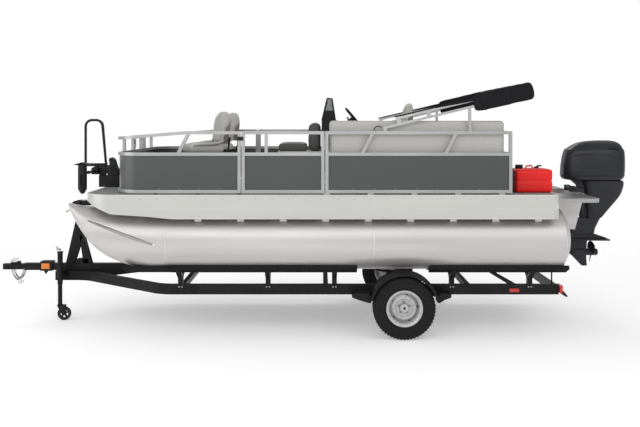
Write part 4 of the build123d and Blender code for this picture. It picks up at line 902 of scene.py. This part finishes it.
# nose sections: distance ahead of the seam, top, height, half width
noseRows = ((0.0, 1.3, 0.61, 0.305), (0.33, 1.304, 0.6, 0.296), (0.64, 1.314, 0.5, 0.25),
            (0.86, 1.332, 0.33, 0.172), (0.99, 1.352, 0.15, 0.09), (1.05, 1.366, 0.046, 0.03))


def noseSide(x, z):
    # how far the nose's side stands off the tube's middle at one place
    ahead = hull["seamX"] - x
    for low, high in zip(noseRows, noseRows[1:]):
        if ahead <= high[0]:
            share = (ahead - low[0]) / (high[0] - low[0])
            top, height, wide = [low[n] + (high[n] - low[n]) * share for n in (1, 2, 3)]
            offset = (z - top + height / 2) / (height / 2)
            return wide * math.sqrt(max(0.0, 1 - offset * offset))
    return 0.0


def makeNoseTrim():
    strakes, spots, keels, brackets, ends = [], [], [], [], []
    widths = [0.004 + 0.015 * math.sin(math.pi * (0.1 + 0.8 * step / 14)) for step in range(15)]
    for side in bothSides:
        path = [(-2.255 + 0.695 * step / 14, 1.2 - 0.232 * step / 14) for step in range(15)]
        path = [(x, side * (hull["tubeY"] + noseSide(x, z) + 0.001), z) for x, z in path]
        strakes.append(tubeMesh(path, widths, 8, flatten=0.8))
        spots.append(latheMesh([(-0.004, 0.016), (0.004, 0.014), (0.008, 0.006), (0.009, 0.0)], path[-1],
                               (0, side, 0), 16))
        keels.append(plateMesh([(-1.99, 0.77), (-1.78, 0.702), (-1.6, 0.676), (-1.42, 0.668), (-1.405, 0.69),
                                (-1.6, 0.7), (-1.78, 0.73), (-1.98, 0.8)], side * hull["tubeY"], 0.01, 0.003))
        brackets += [blockAt((-1.12 + index * 0.43, side * 1.1, 1.218), (0.035, 0.012, 0.018), 0.003)
                     for index in range(9)]
        ends.append(latheMesh([(-0.004, 0.047), (0.01, 0.047), (0.014, 0.04), (0.012, 0.03), (0.014, 0.0)],
                              (2.455, side * 1.205, 1.372), (0, side, 0), 28))
    # the strakes take the darker shaded aluminium: painted shadow under each strake
    finished("noseStrakes", strakes, "shadedAluminium", "hull")
    finished("strakeEnds", spots, "weld", "hull")
    finished("noseKeels", keels, "hullAluminium", "hull")
    finished("skirtBrackets", brackets, "skirtAluminium", "skirt")
    finished("skirtEnds", ends, "skirtAluminium", "skirt")


def makeFenceTrim():
    places = [((x0 + index * pitch, side * hull["panelY"], z), outboard[side]) for side in bothSides
              for z in (1.535, 1.868) for x0, pitch, count in ((0.24, 0.21, 9), (-1.5, 0.2, 4))
              for index in range(count)]
    repeated("panelRivets", domeMesh(0.0045, 0.0025), places, "railAluminium", "bright_tube")
    latch = [blockMesh((-0.712, -1.206, 2.02), (-0.655, -1.196, 2.06), 0.004),
             tubeMesh([(-0.683, -1.206, 2.04), (-0.683, -1.222, 2.04)], 0.009, 12)]
    finished("gateLatch", latch, "mouldedBlack", "black_plastic")
    loop = [(0.655, -1.177, 2.112)] + [(0.7 - 0.045 * c, -1.177, 2.125 + 0.04 * s)
                                       for c, s in around(10, 0, math.radians(135), last=True)]
    finished("topCable", tubeMesh(loop, 0.005, 8), "mouldedBlack", "black_plastic")
    caps = [blockAt((0.182, side * 1.179, 2.1165), (0.017, 0.017, 0.0035), 0.003) for side in bothSides]
    finished("postCaps", caps, "mouldedBlack", "black_plastic")


makeHullTrim()
makeNoseTrim()
makeFenceTrim()
print("hull and fence trim made")


# ---- trailer trim ----
def chainMesh(points, link=0.016, thick=0.0032):
    pieces = []
    for index, (start, end) in enumerate(zip(points, points[1:])):
        ahead = (end - start).normalized()
        side = ahead.orthogonal().normalized()
        side = ahead.cross(side) if index % 2 else side
        ring = [(start + end) / 2 + ahead * c * link + side * s * link * 0.55 for c, s in around(12)]
        pieces.append(tubeMesh(ring, thick, 6, True))
    return joined(pieces)


def hangingLine(start, end, drop, count):
    shares = [index / count for index in range(count + 1)]
    return [Vector(start).lerp(Vector(end), share) - Vector((0, 0, drop * 4 * share * (1 - share)))
            for share in shares]


def makeHitchTrim():
    chains = [chainMesh(hangingLine((-3.255, side * 0.04, 0.535), (-3.4, side * 0.034, 0.53), 0.115, 16))
              for side in bothSides]
    finished("safetyChains", chains, "shadedAluminium", "galvanised")
    hooks = [tubeMesh([(x, side * 0.037, z) for x, z in
                       ((-3.322, 0.422), (-3.322, 0.392), (-3.312, 0.368), (-3.296, 0.372), (-3.294, 0.392))],
                      0.006, 8) for side in bothSides]
    finished("chainHooks", hooks, "zincSteel", "galvanised")
    latch = [blockMesh((-3.425, -0.014, 0.604), (-3.345, 0.014, 0.622), 0.004),
             tubeMesh([(-3.42, 0, 0.615), (-3.395, 0, 0.64), (-3.335, 0, 0.646)], 0.007, 8)]
    finished("couplerLatch", latch, "zincSteel", "galvanised")
    housing = [blockMesh((-3.075, -0.056, 0.512), (-2.93, 0.056, 0.622), 0.01),
               plateMesh([(-3.045, 0.52), (-2.985, 0.52), (-3.022, 0.47)], 0, 0.02, 0.002)]
    finished("couplerHousing", housing, "trailerPaint", "trailer")
    tag = blockMesh((-3.056, -0.062, 0.536), (-2.962, -0.054, 0.6), 0.004)
    finished("amberMarker", tag, "amberTag", "lamp")


def makeFrameTrim():
    wheelX, wheelZ, frameY = trailer["wheelX"], trailer["wheelZ"], trailer["frameY"]
    markers, lips, steps, braces, bolts = [], [], [], [], []
    arc = around(41, math.radians(14), math.radians(152), last=True)
    inner, outer = [[(wheelX + radius * c, wheelZ + radius * s) for c, s in arc] for radius in (0.333, 0.357)]
    for side in bothSides:
        markers.append(blockAt((2.13, side * 0.879, 0.459), (0.05, 0.006, 0.019), 0.003))
        for y in (0.931, 1.147):
            lips.append(plateMesh(inner + outer[::-1], side * y, 0.003))
            lips.append(tubeMesh([(x, side * y, z) for x, z in outer], 0.006, 8))
        for way, reach in ((-1, 0.53), (1, 0.475)):
            outline = ((0.335, 0.444), (0.36, 0.47), (reach, 0.47), (reach, 0.43), (reach - 0.07, 0.405),
                       (0.36, 0.375), (0.335, 0.375))
            steps.append(plateMesh([(wheelX + way * x, z) for x, z in outline], side * 1.03, 0.085, 0.006))
        y = side * hull["tubeY"]
        braces.append(plateMesh([(1.865, 0.645), (1.935, 0.645), (2.165, 0.515), (2.095, 0.505)],
                                y, 0.022, 0.003))
        braces.append(tubeMesh([(2.529, y - side * 0.01, 0.512), (2.529, y - side * 0.01, 0.64)], 0.008, 10))
        braces.append(plateMesh([(2.585, 0.455), (2.64, 0.455), (2.69, 0.395), (2.672, 0.388), (2.6, 0.432)],
                                y, 0.03, 0.003))
        spots = [(x + shift, 0.495) for x in (-1.337, -0.427, 0.263, 1.483, 2.293)
                 for shift in (-0.015, 0.015)]
        spots += [(x, 0.44) for x in (0.63, 0.7, 1.24, 1.31)]
        bolts += [((x, side * frameY, z), outboard[side]) for x, z in spots]
    finished("sideMarkers", markers, "redLens", "lamp")
    finished("rearBraces", braces, "trailerPaint", "trailer")
    finished("fenderLips", lips, "trailerPaint", "trailer")
    finished("fenderSteps", steps, "trailerPaint", "trailer")
    repeated("frameBolts", boltMesh(0.008, 0.008), bolts, "zincSteel", "trailer")


def makeStandTrim():
    # tongue carried back to the first cross member, and the stand's side plates
    stand = [blockMesh((-2.16, -0.037, 0.523), (-1.3, 0.037, 0.597), 0.004)]
    for side in bothSides:
        for outline in ([(-2.79, 0.59), (-2.69, 0.59), (-2.585, 0.93), (-2.61, 1.09), (-2.66, 1.06)],
                        [(-2.585, 0.59), (-2.49, 0.59), (-2.575, 0.9), (-2.63, 0.92)],
                        [(-2.72, 0.592), (-2.52, 0.592), (-2.53, 0.65), (-2.655, 0.65)]):
            stand.append(plateMesh(outline, side * 0.033, 0.004, 0.001))
    finished("standPlates", stand, "trailerPaint", "trailer")
    # bunks carried forward under the noses
    noses = []
    for side in bothSides:
        for tilt in (-24, 24):
            board = blockMesh((-1.9, -0.07, -0.343), (-1.388, 0.07, -0.305), 0.006, 1)
            board.transform(Matrix.Translation((0, side * hull["tubeY"], hull["tubeZ"]))
                            @ Matrix.Rotation(math.radians(tilt), 4, "X"))
            noses.append(board)
    finished("bunkNoses", noses, "bunkCarpet", "trailer")
    crank = tubeMesh([(-2.662, -0.066, 1.262), (-2.662, -0.095, 1.262), (-2.74, -0.098, 1.2),
                      (-2.74, -0.16, 1.2)], [0.01, 0.01, 0.008, 0.012], 10)
    finished("winchCrank", crank, "zincSteel", "galvanised")
    strap = plateMesh([(-2.66, 1.314), (-2.62, 1.318), (-2.3, 1.312), (-2.3, 1.3075), (-2.62, 1.3125),
                       (-2.66, 1.3085)], 0, 0.025)
    finished("winchStrap", strap, "blackCanvas", "canvas")


def makeJackTrim():
    x, y = trailer["jack"]
    handle = [(x, y, 0.762), (x, y, 0.79), (x, y - 0.055, 0.797), (x, y - 0.11, 0.797), (x, y - 0.11, 0.835)]
    finished("jackHandle", tubeMesh(handle, [0.009, 0.009, 0.008, 0.008, 0.013], 10), "zincSteel",
             "galvanised", "jack_tube")
    low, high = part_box("jack_wheel")
    middle = (low + high) / 2
    half = [(0.0215, 0.048), (0.0215, 0.066), (0.017, 0.073), (0.008, 0.0748)]
    tread = [(-along, radius) for along, radius in half] + half[::-1]
    bore = [(-0.0215, 0.0095), (-0.0215, 0.019), (0.0215, 0.019), (0.0215, 0.0095)]
    parts = [latheMesh(tread, middle, (0, 1, 0), 48, True), latheMesh(bore, middle, (0, 1, 0), 28, True)]
    for index in range(5):
        spoke = blockMesh((-0.008, -0.015, 0.014), (0.008, 0.015, 0.052), 0.002, 1)
        spoke.transform(Matrix.Translation(middle) @ Matrix.Rotation(2 * math.pi * index / 5, 4, "Y"))
        parts.append(spoke)
    finished("casterWheel", parts, "mouldedBlack", "tyre", "jack_wheel", ("jack_wheel",), 40)


makeHitchTrim()
makeFrameTrim()
makeStandTrim()
makeJackTrim()
print("trailer trim made")


# ---- bow motor trim ----
bowMotor = {"x": -2.402, "podY": -0.71, "podZ": 1.62, "pinY": -0.15, "armZ": 1.66, "propZ": 1.7655}


def makeBowMotorTrim():
    x, podY, podZ, pinY, armZ, propZ = bowMotor.values()

    def shown(name, mesh, body="troll_arm", **more):
        finished(name, mesh, "mouldedBlack", "black_plastic", body, **more)

    pod = [(-0.175, 0.0), (-0.172, 0.012), (-0.16, 0.026), (-0.13, 0.04), (-0.128, 0.0455), (-0.09, 0.0465),
           (0.08, 0.0465), (0.115, 0.0455), (0.1285, 0.04), (0.1288, 0.0)]
    shown("podShell", latheMesh(pod, (x, podY, podZ), (0, 0, 1), 36))
    fin = [(podY - 0.044, podZ - 0.1), (podY - 0.085, podZ - 0.06), (podY - 0.085, podZ + 0.02),
           (podY - 0.044, podZ + 0.04)]
    shown("podFin", plateMesh(fin, x, 0.003, axis="x"))
    boss = latheMesh([(-0.052, 0.02), (-0.05, 0.034), (-0.038, 0.042), (0.03, 0.042), (0.036, 0.036),
                      (0.037, 0.0)], (x, pinY, armZ), (1, 0, 0), 32)
    casting = plateMesh([(-2.352, 1.622), (-2.338, 1.617), (-2.296, 1.617), (-2.288, 1.64), (-2.29, 1.7),
                         (-2.3, 1.712), (-2.34, 1.712), (-2.352, 1.69)], pinY, 0.042, 0.004)
    shown("armBoss", [boss, casting])
    # the sleeve on the loop: up, over two corners and down
    loop = [(-2.526, pinY, 1.745)]
    for middleX, start in ((-2.455, math.pi), (-2.407, quarter)):
        loop += [(middleX + 0.071 * c, pinY, 2.158 + 0.071 * s)
                 for c, s in around(9, start, -quarter, last=True)]
    shown("loopSleeve", tubeMesh(loop + [(-2.2975, pinY, 1.745)], 0.0142, 14))
    wing = [plateMesh([(-2.27, 1.6), (-2.135, 1.6), (-2.135, 1.655), (-2.165, 1.7), (-2.19, 1.785),
                       (-2.222, 1.812), (-2.258, 1.798), (-2.248, 1.73), (-2.272, 1.69)],
                      pinY, 0.045, 0.008),
            plateMesh([(-2.262, 1.606), (-2.143, 1.606), (-2.143, 1.64), (-2.215, 1.668), (-2.262, 1.65)],
                      pinY, 0.058, 0.006)]
    shown("mountWing", wing, "boat")
    shown("shaftCollars", [latheMesh([(-0.012, 0.0155), (-0.01, 0.019), (0.01, 0.019), (0.012, 0.0155)],
                                     (x, y, armZ), (0, 1, 0), 20) for y in (-0.33, -0.48, -0.6)])
    blades = bladeMesh((x, podY, propZ), (0, 0, 1), 2, 0.028, 0.098, 0.055, math.radians(35), 0.004, 0.2)
    spinner = latheMesh([(-0.0135, 0.0282), (0.006, 0.0282), (0.014, 0.02), (0.0149, 0.0)], (x, podY, propZ),
                        (0, 0, 1), 28)
    shown("bowPropeller", [blades, spinner], "troll_prop", replaced=("troll_prop",), angle=50)


makeBowMotorTrim()
print("bow motor trim made")


# ---- stage, light and camera ----
white = (1.0, 1.0, 1.0, 1.0)


def makeStage():
    half = stageLook["floorSize"] / 2
    mesh = meshOf([(-half, -half, 0), (half, -half, 0), (half, half, 0), (-half, half, 0)], [(0, 1, 2, 3)])
    floor = bpy.data.objects.new("floor", mesh)
    scene.collection.objects.link(floor)
    finish = bpy.data.materials.new("floorFinish")
    finish.use_nodes = True
    tree = finish.node_tree
    shader, out = tree.nodes["Principled BSDF"], tree.nodes["Material Output"]
    constants = {"Base Color": (*stageLook["floorColor"], 1.0), "Roughness": 0.9, "Specular IOR Level": 0.1,
                 "Emission Color": white, "Emission Strength": stageLook["floorGlow"]}
    for socket, value in constants.items():
        shader.inputs[socket].default_value = value
    # far from the boat the floor turns into the plain white backdrop
    place = addNode(tree, "ShaderNodeTexCoord")
    flat = addNode(tree, "ShaderNodeMapping", Scale=(0.62, 1.0, 0.0))
    reach = addNode(tree, "ShaderNodeVectorMath")
    reach.operation = "LENGTH"
    fade = addNode(tree, "ShaderNodeMapRange", From_Min=stageLook["fadeFrom"], From_Max=stageLook["fadeTo"])
    glow = addNode(tree, "ShaderNodeEmission", Color=white, Strength=1.0)
    mix = addNode(tree, "ShaderNodeMixShader")
    wire(tree, (place, "Object", flat, "Vector"), (flat, "Vector", reach, 0), (reach, "Value", fade, "Value"),
         (fade, "Result", mix, 0), (shader, 0, mix, 1), (glow, 0, mix, 2), (mix, 0, out, "Surface"))
    mesh.materials.append(finish)


def makeWorld():
    world = bpy.data.worlds.new("studio")
    scene.world = world
    world.use_nodes = True
    tree = world.node_tree
    tree.nodes.clear()
    # the camera sees plain white, also through the screen; the part is lit by a softer level
    path = addNode(tree, "ShaderNodeLightPath")
    seen = addNode(tree, "ShaderNodeMath")
    seen.operation = "MAXIMUM"
    light = addNode(tree, "ShaderNodeBackground", Color=white, Strength=stageLook["worldLight"])
    back = addNode(tree, "ShaderNodeBackground", Color=white, Strength=1.0)
    mix = addNode(tree, "ShaderNodeMixShader")
    out = addNode(tree, "ShaderNodeOutputWorld")
    wire(tree, (path, "Is Camera Ray", seen, 0), (path, "Is Transmission Ray", seen, 1), (seen, 0, mix, 0),
         (light, 0, mix, 1), (back, 0, mix, 2), (mix, 0, out, "Surface"))


def makeLamp(name, place, aim, size, power):
    data = bpy.data.lights.new(name, "AREA")
    data.shape = "RECTANGLE"
    data.size, data.size_y = size
    data.energy = power
    lamp = bpy.data.objects.new(name, data)
    scene.collection.objects.link(lamp)
    lamp.location = place
    lamp.rotation_mode = "QUATERNION"
    lamp.rotation_quaternion = (Vector(aim) - Vector(place)).to_track_quat("-Z", "Y")


makeStage()
makeWorld()
makeLamp("key", (-2.0, -7.2, 4.2), (0, 0, 1.1), (9.0, 3.6), stageLook["keyPower"])
makeLamp("fill", (4.5, -6.0, 4.5), (0.5, 0, 1.0), (5.0, 3.4), stageLook["fillPower"])
makeLamp("rim", (0.0, 6.0, 7.0), (0, 0, 1.2), (7.0, 2.5), stageLook["rimPower"])
makeLamp("bow", (-6.5, -2.5, 2.6), (-2.0, -0.6, 1.6), (3.6, 3.0), stageLook["bowPower"])
cameraData = bpy.data.cameras.new("camera")
cameraData.lens = cameraLook["lens"]
cameraData.shift_y = cameraLook["shiftY"]
camera = bpy.data.objects.new("camera", cameraData)
scene.collection.objects.link(camera)
camera.location = cameraLook["place"]
camera.rotation_euler = (quarter, 0, 0)
scene.camera = camera
scene.view_settings.view_transform = "Standard"
print("stage, light and camera made")
